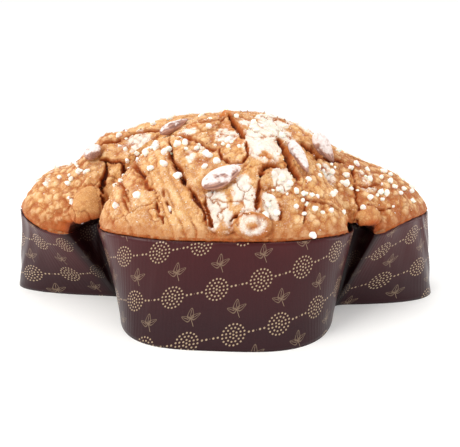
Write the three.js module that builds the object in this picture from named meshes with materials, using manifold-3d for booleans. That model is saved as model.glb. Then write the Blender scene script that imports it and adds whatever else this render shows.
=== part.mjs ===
// Colomba: a dove-shaped Easter cake that is baked and kept in its own paper case.
// Millimetres, +Z up. The origin is on the underside of the case, where the line from head to
// tail crosses the line from wing to wing. The tail points along +X and the near wing along -Y.

import * as THREE from 'three';
import { mergeVertices } from 'three/addons/utils/BufferGeometryUtils.js';
import Module from 'manifold-3d';

const wasm = await Module();
wasm.setup();

// Driving dimensions

const PAPER = 1.0;          // fluted paper of the wall, and of the floor
const GAP = 0.4;            // between the paper and the cake
const STRIP = 58;           // height of the paper strip, measured along the leaning wall
const CROWN = 126.5;        // top of the dome above the table

// Reach of the lobes from the origin. "square" is the superellipse power: 2 is an ellipse.
const FLOOR_OUTLINE = {
  head: 156, headHalf: 38.5, headSquare: 4.4,
  tail: 147, tailHalf: 43.5, tailSquare: 3.2,
  wing: 106.5, wingHeadSide: 68, wingTailSide: 73, wingSquare: 3.4,
};
const RIM_OUTLINE = {
  head: 148.5, headHalf: 58.5, headSquare: 3.6,
  tail: 143, tailHalf: 75, tailSquare: 2,
  wing: 96.5, wingHeadSide: 84.5, wingTailSide: 87, wingSquare: 3.4,
};
const BLEND = 20;           // how sharply a wing meets the body: higher is a tighter corner
const HEAD_VALLEY = 31.5;   // degrees from the axis, past which head and tail give way to the
const TAIL_VALLEY = 34.5;   // wing, so that the wall folds in between the lobes
const VALLEY_TURN = 2;      // degrees over which they do, to either side
const VALLEY_CUT = 0.3;     // share of their reach that they lose
const FOLD_WIDTH = 2.8;     // degrees to either side of a corner over which the rim is folded in
const FOLD_DEEP = 15;       // how far the fold goes in, square to the line from head to tail
const OUTLINE_STEPS = 96;
const BEND_WEIGHT = 14;     // mm of outline that one radian of bend counts for, in spacing points
const WALL_MIDDLE = 0.5;    // levels of the wall, as shares of its height, at which
const WALL_TOP = 0.9;       // both faces of the paper and the cake inside have a ring

const DOME_POWER = 0.77;    // 0.5 would be an ellipsoid, 1 a paraboloid
const DOME_LEAN = 65;       // degrees that the crust leans out just above the lip
const DOME_RINGS = 13;
const EDGE_INSET = 0.9;     // from the outer face of the paper in to the widest part of the crust
const TUCKED_INSET = 3.6;   // the same in the four corners, below the rim
const LIP = 2.6;            // height of that widest part over the rim
const NOTCH_DROP = 4.0;     // how far it sinks below that in the four corners
const EDGE_START = 0.5;     // height over the paper's edge at which the crust starts to come out
const EDGE_DROP = 4.5;      // how far below that it starts in the four corners
const EDGE_BAND = 0.06;     // share of the way in from the rim over which swellings fade out
const FULL_RING = 0.8;      // rings farther out than this share have all the outline's points
const NOTCH_WIDTH = 6;      // degrees
const UNDERCUT = [0.965, 0.995]; // shares of the way out between which the crust draws back there
const TUCKED_FROM = 0.35;   // share of a corner from which the crust stays inside the paper
const HEAD_CORNER = 211.8;  // degrees of the corner between head and near wing
const TAIL_CORNER = 325.6;

// The creases that run up from the four corners, where the wings meet head and tail.
const CREASES = [
  { from: [-78, -54], to: [-73, -14], depth: 7, reach: 5 },
  { from: [-78, 54], to: [-73, 14], depth: 7, reach: 5 },
  { from: [82, -62], to: [78, -14], depth: 7, reach: 5 },
  { from: [82, 62], to: [78, 14], depth: 7, reach: 5 },
];

// Head and tail rise as humps of their own, so the crust is lower across the body before them.
const SAGS = [
  { x: 98, reach: 34, depth: 19 },
  { x: -112, reach: 13, depth: 13 },
  { x: -138, reach: 12, depth: -22 },
];

// Swellings of the crust: glaze that ran over an almond, and knobs beside the corners.
const LUMPS = [
  { at: [19, -94], radius: 12, rise: 4.5 },
  { at: [3, -96], radius: 6, rise: 3 },
  { at: [-85, -50], radius: 10, rise: 5 },
  { at: [91, -54], radius: 10, rise: 4 },
  { at: [12, -60], radius: 16, rise: 2.5 },
  { at: [24, -52], radius: 18, rise: 2.5 },
  { at: [2, -24], radius: 8, rise: 3 },
  { at: [-84, -16], radius: 10, rise: 3 },
  { at: [-20, 92], radius: 14, rise: 4 },
  { at: [86, 52], radius: 11, rise: 3 },
  { at: [-30, 48], radius: 18, rise: 2.5 },
];

// Splits of the crust on the shown side: width and depth, and the points they run through.
const SPLITS = [
  { width: 3.6, depth: 5.5, through: [[-37, -44], [-31, -60], [-25, -72], [-16, -83], [-5, -95]] },
  { width: 4.0, depth: 5, through: [[-86, -36], [-74, -36], [-62, -45], [-50, -67], [-29, -95]] },
  { width: 3.4, depth: 6, through: [[-80, -34], [-78, -46], [-76, -58]] },
  { width: 4.0, depth: 4.5, through: [[-88, -27], [-74, -26], [-58, -23], [-42, -24]] },
  { width: 3.6, depth: 4, through: [[-36, -42], [-27, -47], [-19, -53], [-11, -58], [-3, -62]] },
  { width: 3.2, depth: 4, through: [[-22, -33], [-10, -35], [1, -30]] },
  { width: 5.0, depth: 6, through: [[2, -26], [8, -42], [13, -57]] },
  { width: 7.0, depth: 8, through: [[36, -43], [39, -57], [42, -66], [47, -73]] },
  { width: 4.4, depth: 7, through: [[24, -77], [28, -71], [37, -69]] },
  { width: 7.5, depth: 9, through: [[50, -29], [57, -34], [66, -36], [80, -28]] },
  { width: 3.4, depth: 4, through: [[82, -14], [92, -6], [104, -9]] },
  { width: 3.0, depth: 4, through: [[6, -93], [12, -92], [21, -91]] },
  { width: 2.8, depth: 3.5, through: [[21, -91], [23, -85], [24, -77]] },
  { width: 3.0, depth: 3.5, through: [[-8, -83], [-7, -90], [-2, -95]] },
  { width: 3.4, depth: 5.5, through: [[83, -26], [85, -38], [84, -50], [82, -58]] },
  { width: 2.4, depth: 3, through: [[90, -49], [97, -50], [110, -43]] },
  { width: 4.0, depth: 5, through: [[3, -6], [20, 4], [28, 18], [24, 34]] },
  { width: 3.4, depth: 4, through: [[-40, -4], [-32, 12], [-12, 20], [6, 16]] },
];
const FAR_SIDE_FROM = 40;   // splits that start farther out than this are repeated, turned half round
const FAR_SIDE_SCALE = 0.95;
const SPLIT_STEP = 11;      // mm between the sections of a split
const SPLIT_LIFT = 3;       // mm that the cutting wedge stands out of the crust
const SPLIT_END = 0.5;      // how much of its width and depth a split has left at its ends

// Lines that the rising dough pulled into the crust of the near wing, between two splits.
const STRETCH_LINES = { count: 5, width: 1.8, depth: 1.4, apart: 3.2, from: [-37, -66], to: [-20, -95] };

// Whole almonds: place on the crust, direction of the point (degrees), pitch of that point
// (degrees down), roll, length, width, thickness, and how much of the thickness is sunk.
const ALMONDS = [
  { at: [-34, -30], heading: 40, pitch: 5, roll: 8, size: [23, 12, 7.5], sunk: 0.25 },
  { at: [-89, -31], heading: 92, pitch: 24, roll: 2, size: [20, 12, 8.5], sunk: 0.25 },
  { at: [2, -77], heading: 54, pitch: 13, roll: -21, size: [29, 15, 9], sunk: 0.35 },
  { at: [47, -55], heading: 303, pitch: -1, roll: -26, size: [27, 13, 8], sunk: 0.3 },
  { at: [64, -30], heading: 328, pitch: 26, roll: 16, size: [22, 12, 8], sunk: 0.2 },
  { at: [-30, 62], heading: 150, pitch: 0, roll: 15, size: [26, 14, 8.5], sunk: 0.35 },
  { at: [36, 70], heading: 70, pitch: 0, roll: 35, size: [25, 13, 8], sunk: 0.3 },
  { at: [72, 30], heading: 200, pitch: 0, roll: 10, size: [24, 13, 8], sunk: 0.3 },
  { at: [-84, 30], heading: 110, pitch: 0, roll: 30, size: [24, 13, 8], sunk: 0.3 },
  { at: [2, 36], heading: 330, pitch: 0, roll: 10, size: [25, 13, 8], sunk: 0.3 },
  { at: [-114, 34], heading: 190, pitch: 0, roll: 15, size: [25, 13, 8], sunk: 0.35 },
  { at: [104, 36], heading: 350, pitch: 0, roll: 25, size: [24, 12, 8], sunk: 0.3 },
];
const ALMOND_SIDES = 10;
const ALMOND_RINGS = 8;
const ALMOND_CLEARANCE = 0.35;
const ALMOND_TAPER = 0.24;  // how much narrower it gets from its middle to its point
const ALMOND_BELLY = 0.1;   // and from its middle to both ends

// Pearl sugar nibs, fused to the crust.
const NIBS = {
  count: 84, smallest: 1.7, largest: 2.6, flat: 0.8, up: 0.3, seed: 53,
  apart: 11, fromAlmond: 17, fromSplit: 4.2, edge: 0.955,
};

const degrees = THREE.MathUtils.degToRad;

// Outlines of the case

function superellipse(angle, along, across, square) {
  const a = Math.abs(Math.cos(angle) / along) ** square;
  const b = Math.abs(Math.sin(angle) / across) ** square;
  return (a + b) ** (-1 / square);
}

// Distance from the origin to the outline: the body and the pair of wings, melted together.
function reach(angle, outline) {
  const towardsHead = Math.cos(angle) < 0;
  const body = towardsHead
    ? superellipse(angle, outline.head, outline.headHalf, outline.headSquare)
    : superellipse(angle, outline.tail, outline.tailHalf, outline.tailSquare);
  const side = towardsHead ? outline.wingHeadSide : outline.wingTailSide;
  const wing = superellipse(angle, side, outline.wing, outline.wingSquare);
  const kept = 1 - VALLEY_CUT * pastValley(angle);
  return ((body * kept) ** BLEND + wing ** BLEND) ** (1 / BLEND);
}

// 0 in head and tail, 1 beyond the valley that parts them from the wings.
function pastValley(angle) {
  const fromAxis = THREE.MathUtils.radToDeg(Math.atan2(Math.abs(Math.sin(angle)), Math.abs(Math.cos(angle))));
  const valley = Math.cos(angle) < 0 ? HEAD_VALLEY : TAIL_VALLEY;
  return THREE.MathUtils.smoothstep(fromAxis, valley - VALLEY_TURN, valley + VALLEY_TURN);
}

// The strip has one height, so where the wall leans its rim is lower.
function rimHeight(angle) {
  const lean = reach(angle, RIM_OUTLINE) - reach(angle, FLOOR_OUTLINE);
  return Math.sqrt(STRIP ** 2 - lean ** 2);
}

// 1 in the corners between the lobes, 0 away from them.
function cornerShare(angle, width, power) {
  const corners = [HEAD_CORNER, TAIL_CORNER, 360 - HEAD_CORNER, 360 - TAIL_CORNER];
  let share = 0;
  for (const corner of corners) {
    const away = THREE.MathUtils.euclideanModulo(THREE.MathUtils.radToDeg(angle) - corner + 180, 360) - 180;
    share = Math.max(share, Math.exp(-(Math.abs(away / width) ** power)));
  }
  return share;
}

function onOutline(angle, outline, folded = true) {
  const back = folded && outline === RIM_OUTLINE ? FOLD_DEEP * cornerShare(angle, FOLD_WIDTH, 4) : 0;
  const r = reach(angle, outline);
  return new THREE.Vector2(r * Math.cos(angle), r * Math.sin(angle) - Math.sign(Math.sin(angle)) * back);
}

// Angles that step evenly along the rim, not evenly round the origin, and closer where it bends.
function outlineAngles(count) {
  const fine = 2880;
  const length = [0];
  for (let i = 1; i <= fine; i += 1) {
    const [a, b, c] = [i - 1, i, i + 1].map((k) => onOutline(k * 2 * Math.PI / fine, RIM_OUTLINE));
    const bend = Math.abs(b.clone().sub(a).angle() - c.sub(b).angle());
    length.push(length[i - 1] + a.distanceTo(b) + BEND_WEIGHT * Math.min(bend, 2 * Math.PI - bend));
  }
  const angles = [];
  let i = 0;
  for (let k = 0; k < count; k += 1) {
    const wanted = length[fine] * k / count;
    while (length[i + 1] < wanted) i += 1;
    const part = (wanted - length[i]) / (length[i + 1] - length[i]);
    angles.push((i + part) * 2 * Math.PI / fine);
  }
  return angles;
}

const ANGLES = outlineAngles(OUTLINE_STEPS);

// The direction square to an outline, towards the cake.
function inwardAt(angle, outline, folded = true) {
  const step = 0.004;
  const before = onOutline(angle - step, outline, folded);
  const along = onOutline(angle + step, outline, folded).sub(before).normalize();
  return new THREE.Vector2(-along.y, along.x);
}

// A point of the wall, moved in. Floor and rim move the same way, so that the faces never cross.
function insetPoint(angle, outline, distance) {
  const way = inwardAt(angle, FLOOR_OUTLINE).add(inwardAt(angle, RIM_OUTLINE)).normalize();
  return onOutline(angle, outline).addScaledVector(way, distance);
}

function insetOutline(outline, distance) {
  return ANGLES.map((angle) => insetPoint(angle, outline, distance));
}

const RIM_HEIGHTS = ANGLES.map(rimHeight);

// Rings of points, and the skin between them

function ringAt(points, heights) {
  return points.map((p, i) => new THREE.Vector3(p.x, p.y, heights[i]));
}

function flatRing(points, height) {
  return points.map((p) => new THREE.Vector3(p.x, p.y, height));
}

function betweenRings(low, high, part) {
  return low.map((p, i) => p.clone().lerp(high[i], part));
}

// Triangles between two rings of one count. The diagonal leans the same way on both faces of
// a wall, whether the skin climbs it or comes down it.
function addBand(triangles, a, b, goesDown) {
  for (let i = 0; i < a.length; i += 1) {
    const j = (i + 1) % a.length;
    if (goesDown) {
      triangles.push([a[i], a[j], b[i]], [a[j], b[j], b[i]]);
    } else {
      triangles.push([a[i], a[j], b[j]], [a[i], b[j], b[i]]);
    }
  }
}

// Triangles from a ring to a narrower one with fewer points, both starting at the same angle.
function addNarrowingBand(triangles, a, b) {
  let i = 0;
  let j = 0;
  while (i < a.length || j < b.length) {
    const nextA = (i + 1) / a.length;
    const nextB = (j + 1) / b.length;
    if (nextA <= nextB && i < a.length) {
      triangles.push([a[i], a[(i + 1) % a.length], b[j % b.length]]);
      i += 1;
    } else {
      triangles.push([a[i % a.length], b[(j + 1) % b.length], b[j]]);
      j += 1;
    }
  }
}

function addFan(triangles, pole, ring, above) {
  for (let i = 0; i < ring.length; i += 1) {
    const j = (i + 1) % ring.length;
    triangles.push(above ? [ring[i], ring[j], pole] : [pole, ring[j], ring[i]]);
  }
}

function geometryOf(triangles) {
  const positions = [];
  for (const triangle of triangles) {
    for (const corner of triangle) positions.push(corner.x, corner.y, corner.z);
  }
  const geometry = new THREE.BufferGeometry();
  geometry.setAttribute('position', new THREE.Float32BufferAttribute(positions, 3));
  return mergeVertices(geometry);
}

// Joining and cutting

function solidOf(geometry) {
  const bare = geometry.clone();
  bare.deleteAttribute('normal');
  bare.deleteAttribute('uv');
  const merged = mergeVertices(bare);
  return new wasm.Manifold(new wasm.Mesh({
    numProp: 3,
    vertProperties: new Float32Array(merged.attributes.position.array),
    triVerts: new Uint32Array(merged.index.array),
  }));
}

function geometryOfSolid(solid) {
  const mesh = solid.getMesh();
  const geometry = new THREE.BufferGeometry();
  geometry.setAttribute('position', new THREE.Float32BufferAttribute(mesh.vertProperties, 3));
  geometry.setIndex(new THREE.Uint32BufferAttribute(mesh.triVerts, 1));
  return geometry;
}

// The paper case: an open tray with a leaning, notched wall

function caseGeometry() {
  const outerFloor = flatRing(insetOutline(FLOOR_OUTLINE, 0), 0);
  const outerRim = ringAt(insetOutline(RIM_OUTLINE, 0), RIM_HEIGHTS);
  const innerRim = ringAt(insetOutline(RIM_OUTLINE, PAPER), RIM_HEIGHTS);
  const innerFloor = flatRing(insetOutline(FLOOR_OUTLINE, PAPER), PAPER);
  const outerMiddle = betweenRings(outerFloor, outerRim, WALL_MIDDLE);
  const outerTop = betweenRings(outerFloor, outerRim, WALL_TOP);
  const innerMiddle = betweenRings(innerFloor, innerRim, WALL_MIDDLE);
  const innerTop = betweenRings(innerFloor, innerRim, WALL_TOP);
  const triangles = [];
  addFan(triangles, new THREE.Vector3(0, 0, 0), outerFloor, false);
  addBand(triangles, outerFloor, outerMiddle, false);
  addBand(triangles, outerMiddle, outerTop, false);
  addBand(triangles, outerTop, outerRim, false);
  addBand(triangles, outerRim, innerRim, true);
  addBand(triangles, innerRim, innerTop, true);
  addBand(triangles, innerTop, innerMiddle, true);
  addBand(triangles, innerMiddle, innerFloor, true);
  addFan(triangles, new THREE.Vector3(0, 0, PAPER), innerFloor, true);
  return geometryOf(triangles);
}

// The crust as a surface

function creaseDepth(x, y) {
  let depth = 0;
  for (const crease of CREASES) {
    const start = new THREE.Vector2(...crease.from);
    const run = new THREE.Vector2(...crease.to).sub(start);
    const place = new THREE.Vector2(x, y);
    const part = THREE.MathUtils.clamp(place.clone().sub(start).dot(run) / run.lengthSq(), 0, 1);
    const away = place.distanceTo(start.addScaledVector(run, part));
    depth += crease.depth * Math.exp(-((away / crease.reach) ** 2)) * (1 - part) ** 1.2;
  }
  return depth;
}

function sagDepth(x, out) {
  let depth = 0;
  for (const sag of SAGS) depth += sag.depth * Math.exp(-(((x - sag.x) / sag.reach) ** 2));
  return depth * (1 - out ** 2);
}

function lumpRise(x, y) {
  let rise = 0;
  for (const lump of LUMPS) {
    const away = Math.hypot(x - lump.at[0], y - lump.at[1]) / lump.radius;
    rise += lump.rise * Math.exp(-2 * away ** 2);
  }
  return rise;
}

// The slow unevenness of a crust that rose faster in some places than in others.
function unevenness(x, y) {
  return 0.9 * Math.sin(x / 13 + 1.3 * Math.sin(y / 17)) * Math.cos(y / 15 - 0.8);
}

// The plan place of a crust point. The crust follows the rim. In the corners it bridges the
// fold of the paper, and under that it is undercut, because there it has to stay clear of it.
function crustPlan(angle, out, corner) {
  const tucked = THREE.MathUtils.smoothstep(corner, 0, TUCKED_FROM);
  const edge = insetPoint(angle, RIM_OUTLINE, THREE.MathUtils.lerp(EDGE_INSET, TUCKED_INSET, tucked));
  const bridging = onOutline(angle, RIM_OUTLINE, false)
    .addScaledVector(inwardAt(angle, RIM_OUTLINE, false), EDGE_INSET);
  const drawnBack = bridging.clone().sub(edge).multiplyScalar(THREE.MathUtils.smoothstep(out, ...UNDERCUT));
  return bridging.multiplyScalar(out).sub(drawnBack);
}

// A point of the crust: "out" is 0 at the crown and 1 at the rim.
function crustPoint(angle, out) {
  const corner = cornerShare(angle, NOTCH_WIDTH, 2);
  const { x, y } = crustPlan(angle, out, corner);
  const foot = rimHeight(angle) + LIP - NOTCH_DROP * corner;
  const height = foot + (CROWN - foot) * (1 - out ** 2) ** DOME_POWER;
  const edgeShare = Math.min(1, (1 - out) / EDGE_BAND);
  const swell = (lumpRise(x, y) + unevenness(x, y)) * edgeShare;
  const lean = degrees(DOME_LEAN) * out ** 1.2;
  const push = swell * Math.sin(lean);
  return new THREE.Vector3(
    x + push * Math.cos(angle),
    y + push * Math.sin(angle),
    height + swell * Math.cos(lean) - creaseDepth(x, y) * edgeShare ** 0.5 - sagDepth(x, out),
  );
}

function crustAt(x, y) {
  const angle = Math.atan2(y, x);
  return crustPoint(angle, Math.min(0.999, Math.hypot(x, y) / reach(angle, RIM_OUTLINE)));
}

function crustNormal(x, y) {
  const step = 1.5;
  const alongX = crustAt(x + step, y).sub(crustAt(x - step, y));
  const alongY = crustAt(x, y + step).sub(crustAt(x, y - step));
  return alongX.cross(alongY).normalize();
}

// The plain cake: its foot follows the case, and its dome swells over the rim

function plainCakeGeometry() {
  const inset = PAPER + GAP;
  const foot = flatRing(insetOutline(FLOOR_OUTLINE, inset), inset);
  const rimInside = insetOutline(RIM_OUTLINE, inset);
  const wallTop = ringAt(rimInside, RIM_HEIGHTS);
  const shares = ANGLES.map((angle) => cornerShare(angle, NOTCH_WIDTH, 2));
  const lip = wallTop.map((p, i) => {
    const past = EDGE_START - EDGE_DROP * shares[i];
    return foot[i].clone().lerp(p, (p.z + past - inset) / (p.z - inset));
  });
  const middle = betweenRings(foot, wallTop, WALL_MIDDLE);
  const below = betweenRings(foot, wallTop, WALL_TOP);
  const triangles = [];
  addFan(triangles, new THREE.Vector3(0, 0, inset), foot, false);
  addBand(triangles, foot, middle, false);
  addBand(triangles, middle, below, false);
  addBand(triangles, below, lip, false);
  let last = lip;
  for (let k = 0; k < DOME_RINGS; k += 1) {
    const out = Math.cos((k / DOME_RINGS) * Math.PI / 2);
    const count = Math.round(OUTLINE_STEPS / 4 * Math.min(1, out / FULL_RING)) * 4;
    const angles = ANGLES.filter((_, i) => (i * count) % OUTLINE_STEPS < count);
    const ring = angles.map((angle) => crustPoint(angle, out));
    if (ring.length === last.length) addBand(triangles, last, ring, false);
    else addNarrowingBand(triangles, last, ring);
    last = ring;
  }
  addFan(triangles, crustPoint(0, 0), last, true);
  return geometryOf(triangles);
}

// Splits, as wedges that are cut out of the crust

function wedgeGeometry(through, width, depth) {
  const route = new THREE.CatmullRomCurve3(through.map(([x, y]) => new THREE.Vector3(x, y, 0)));
  const count = Math.max(3, Math.round(route.getLength() / SPLIT_STEP));
  const sections = [];
  for (let i = 0; i <= count; i += 1) {
    const plan = route.getPointAt(i / count);
    const ahead = route.getTangentAt(i / count);
    const normal = crustNormal(plan.x, plan.y);
    const side = normal.clone().cross(ahead).normalize();
    const size = SPLIT_END + (1 - SPLIT_END) * Math.sin(Math.PI * i / count);
    const half = (width / 2) * size * (1 + SPLIT_LIFT / depth);
    const top = crustAt(plan.x, plan.y).addScaledVector(normal, SPLIT_LIFT);
    const bottom = top.clone().addScaledVector(normal, -SPLIT_LIFT - depth * size);
    sections.push([top.clone().addScaledVector(side, half), top.addScaledVector(side, -half), bottom]);
  }
  const triangles = [];
  for (let i = 0; i < count; i += 1) addBand(triangles, sections[i], sections[i + 1], false);
  const [a, b, c] = sections[0];
  const [d, e, f] = sections[count];
  triangles.push([a, c, b], [d, e, f]);
  return geometryOf(triangles);
}

function farSideSplits() {
  const turn = ([x, y]) => [-x * FAR_SIDE_SCALE, -y * FAR_SIDE_SCALE];
  const far = SPLITS.filter((split) => split.through[0][1] < -FAR_SIDE_FROM);
  return far.map((split) => ({ ...split, through: split.through.map(turn) }));
}

function stretchLines() {
  const { count, width, depth, apart, from, to } = STRETCH_LINES;
  const lines = [];
  for (let i = 0; i < count; i += 1) {
    const shift = (i - count / 2) * apart;
    lines.push({ width, depth, through: [[from[0] + shift, from[1]], [to[0] + shift, to[1]]] });
  }
  return lines;
}

// Almonds

// A flat drop: blunt at one end, pointed at the other, swelled by "extra" all round.
function almondGeometry([length, width, thickness], extra) {
  const geometry = new THREE.SphereGeometry(1, ALMOND_SIDES, ALMOND_RINGS);
  geometry.rotateZ(-Math.PI / 2);
  const p = geometry.attributes.position;
  for (let i = 0; i < p.count; i += 1) {
    const x = p.getX(i);
    const taper = 1 - ALMOND_TAPER * x - ALMOND_BELLY * x * x;
    p.setXYZ(
      i,
      x * (length / 2 + extra),
      p.getY(i) * taper * (width / 2 + extra),
      p.getZ(i) * taper * (thickness / 2 + extra),
    );
  }
  geometry.deleteAttribute('normal');
  geometry.deleteAttribute('uv');
  return mergeVertices(geometry);
}

function almondMatrix({ at, heading, pitch, roll, size, sunk }) {
  const normal = crustNormal(...at);
  const ahead = new THREE.Vector3(Math.cos(degrees(heading)), Math.sin(degrees(heading)), 0);
  const side = normal.clone().cross(ahead).normalize();
  const along = side.clone().cross(normal);
  const lift = size[2] * (0.5 - sunk) + (size[1] - size[2]) / 2 * Math.sin(degrees(roll));
  const place = crustAt(...at).addScaledVector(normal, lift);
  return new THREE.Matrix4().makeBasis(along, side, normal)
    .setPosition(place)
    .multiply(new THREE.Matrix4().makeRotationY(degrees(pitch)))
    .multiply(new THREE.Matrix4().makeRotationX(degrees(roll)));
}

// Sugar nibs

// A repeatable run of numbers between 0 and 1.
function drawFrom(seed) {
  let state = seed;
  return () => {
    state = (state * 16807) % 2147483647;
    return state / 2147483647;
  };
}

function distanceToRoute([x, y], through) {
  let nearest = Infinity;
  for (let i = 1; i < through.length; i += 1) {
    const start = new THREE.Vector2(...through[i - 1]);
    const run = new THREE.Vector2(...through[i]).sub(start);
    const place = new THREE.Vector2(x, y);
    const part = THREE.MathUtils.clamp(place.clone().sub(start).dot(run) / run.lengthSq(), 0, 1);
    nearest = Math.min(nearest, place.distanceTo(start.addScaledVector(run, part)));
  }
  return nearest;
}

// Places spread over the crust, clear of the almonds and of the splits.
function nibPlaces(splits, draw) {
  const places = [];
  while (places.length < NIBS.count) {
    const x = (draw() * 2 - 1) * RIM_OUTLINE.head;
    const y = (draw() * 2 - 1) * RIM_OUTLINE.wing;
    const inside = Math.hypot(x, y) < NIBS.edge * reach(Math.atan2(y, x), RIM_OUTLINE);
    const clear = places.every((p) => Math.hypot(p[0] - x, p[1] - y) > NIBS.apart)
      && ALMONDS.every((a) => Math.hypot(a.at[0] - x, a.at[1] - y) > NIBS.fromAlmond)
      && splits.every((s) => distanceToRoute([x, y], s.through) > NIBS.fromSplit);
    if (inside && clear) places.push([x, y]);
  }
  return places;
}

function nibGeometry([x, y], draw) {
  const radius = NIBS.smallest + (NIBS.largest - NIBS.smallest) * draw();
  const geometry = new THREE.IcosahedronGeometry(radius, 0);
  geometry.scale(1, 1, NIBS.flat);
  geometry.rotateX(draw() * Math.PI);
  geometry.rotateZ(draw() * Math.PI);
  const place = crustAt(x, y).addScaledVector(crustNormal(x, y), radius * NIBS.up);
  return geometry.translate(place.x, place.y, place.z);
}

function cakeGeometry() {
  const splits = [...SPLITS, ...farSideSplits()];
  let cake = solidOf(plainCakeGeometry());
  for (const split of [...splits, ...stretchLines()]) {
    cake = cake.subtract(solidOf(wedgeGeometry(split.through, split.width, split.depth)));
  }
  for (const almond of ALMONDS) {
    const pocket = almondGeometry(almond.size, ALMOND_CLEARANCE).applyMatrix4(almondMatrix(almond));
    cake = cake.subtract(solidOf(pocket));
  }
  const draw = drawFrom(NIBS.seed);
  for (const place of nibPlaces(splits, draw)) {
    cake = cake.add(solidOf(nibGeometry(place, draw)));
  }
  return geometryOfSolid(cake);
}

// The assembled cake

function named(name, geometry, color, roughness) {
  const material = new THREE.MeshStandardMaterial({ color, roughness, metalness: 0 });
  const mesh = new THREE.Mesh(geometry, material);
  mesh.name = name;
  return mesh;
}

const colomba = new THREE.Group();
colomba.add(named('paper_case', caseGeometry(), '#48292f', 0.45));
colomba.add(named('cake', cakeGeometry(), '#e0a878', 0.8));
ALMONDS.forEach((almond, i) => {
  const mesh = named(`almond_${i + 1}`, almondGeometry(almond.size, 0), '#9a5f45', 0.6);
  mesh.applyMatrix4(almondMatrix(almond));
  colomba.add(mesh);
});

export default colomba;
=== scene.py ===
# %% [markdown]
# # A colomba in its paper case
#
# A colomba is a dove-shaped Easter cake. It rises and bakes in a paper case with four lobes:
# head, tail and two wings. An almond glaze goes on before baking. It dries, cracks and lifts
# into plates as the dough swells under it. Whole almonds and pearl sugar go on top, and a
# dusting of powdered sugar comes last.
#
# This lesson builds the looks of that cake round a finished CAD model. We start by loading
# the model. Nothing we add may outgrow it.

# %% The model we dress
import math

import bmesh
import bpy
import numpy as np
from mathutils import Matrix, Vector


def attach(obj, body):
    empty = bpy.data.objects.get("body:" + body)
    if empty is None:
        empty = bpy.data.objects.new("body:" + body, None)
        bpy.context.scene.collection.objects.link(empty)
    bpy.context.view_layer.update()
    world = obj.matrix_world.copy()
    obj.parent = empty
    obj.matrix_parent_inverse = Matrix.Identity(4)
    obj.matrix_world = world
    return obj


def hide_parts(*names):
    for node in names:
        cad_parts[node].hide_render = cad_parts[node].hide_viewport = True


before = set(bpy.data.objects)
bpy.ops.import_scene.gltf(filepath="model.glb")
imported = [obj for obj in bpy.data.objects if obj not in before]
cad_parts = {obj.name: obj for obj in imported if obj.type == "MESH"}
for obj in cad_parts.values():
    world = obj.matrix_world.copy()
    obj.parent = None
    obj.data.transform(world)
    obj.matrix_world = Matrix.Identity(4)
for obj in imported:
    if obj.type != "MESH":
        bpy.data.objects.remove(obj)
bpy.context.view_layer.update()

MM = 0.001
print("nodes to dress:", len(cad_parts))

# %% [markdown]
# ## The outline of the case
#
# The case is a star shape seen from above: every direction from the middle meets the wall
# once. So one distance for each angle describes it. A superellipse gives the body from head
# to tail, another gives the pair of wings, and a soft maximum melts the two together. In the
# four corners between the lobes the paper is folded in, deep enough to lie in the dark, and
# the paper there is painted near black as well, a painted shade. The floor and the free rim
# each have their own reach, and the wall is the ruled surface between them. We could draw
# splines instead, but then floor and rim would not share their angles.

# %% Outlines of floor and rim, in millimetres
PAPER = 1.0
GAP = 0.4
STRIP = 58.0
CROWN = 126.5
CORNER_BLEND = 20
VALLEY_CUT = 0.3
VALLEY_TURN = 2.0

HEAD_VALLEY = 31.5
TAIL_VALLEY = 34.5
CORNERS = (211.8, 325.6, 148.2, 34.4)
FOLD_WIDTH = 2.8
FOLD_DEEP = 15.0
FLOOR_OUTLINE = dict(head=156, head_half=38.5, head_square=4.4, tail=147, tail_half=43.5, tail_square=3.2,
                     wing=106.5, wing_head_side=68, wing_tail_side=73, wing_square=3.4)
RIM_OUTLINE = dict(head=148.5, head_half=58.5, head_square=3.6, tail=143, tail_half=75, tail_square=2.0,
                   wing=96.5, wing_head_side=84.5, wing_tail_side=87, wing_square=3.4)


def fade(value, low, high):
    """0 below low, 1 above high, smooth between."""
    t = np.clip((value - low) / (high - low), 0, 1)
    return t * t * (3 - 2 * t)


def superellipse(angle, along, across, square):
    a = np.abs(np.cos(angle) / along) ** square
    b = np.abs(np.sin(angle) / across) ** square
    return (a + b) ** (-1 / square)


def reach(angle, outline):
    o = outline
    to_head = np.cos(angle) < 0
    body = np.where(to_head,
                    superellipse(angle, o["head"], o["head_half"], o["head_square"]),
                    superellipse(angle, o["tail"], o["tail_half"], o["tail_square"]))
    fold = np.degrees(np.arctan2(np.abs(np.sin(angle)), np.abs(np.cos(angle))))
    past_valley = (fold - np.where(to_head, HEAD_VALLEY, TAIL_VALLEY)) / VALLEY_TURN
    body = body * (1 - VALLEY_CUT * fade(past_valley, -1, 1))
    side = np.where(to_head, o["wing_head_side"], o["wing_tail_side"])
    wing = superellipse(angle, side, o["wing"], o["wing_square"])
    return (body ** CORNER_BLEND + wing ** CORNER_BLEND) ** (1 / CORNER_BLEND)


def corner_share(angle, width, power):
    """1 in the four corners between the lobes, 0 away from them."""
    share = np.zeros_like(angle)
    for corner in CORNERS:
        away = (np.degrees(angle) - corner + 180) % 360 - 180
        share = np.maximum(share, np.exp(-np.abs(away / width) ** power))
    return share


def on_outline(angle, outline, folded=True):
    r = reach(angle, outline)
    back = FOLD_DEEP * corner_share(angle, FOLD_WIDTH, 4) if folded and outline is RIM_OUTLINE else 0.0
    return np.stack([r * np.cos(angle), r * np.sin(angle) - np.sign(np.sin(angle)) * back], -1)


def unit(vectors):
    return vectors / np.linalg.norm(vectors, axis=-1, keepdims=True)


def inward(angle, outline, folded=True):
    """The direction square to an outline, towards the cake."""
    step = 0.004
    along = unit(on_outline(angle + step, outline, folded) - on_outline(angle - step, outline, folded))
    return np.stack([-along[..., 1], along[..., 0]], -1)


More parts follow.
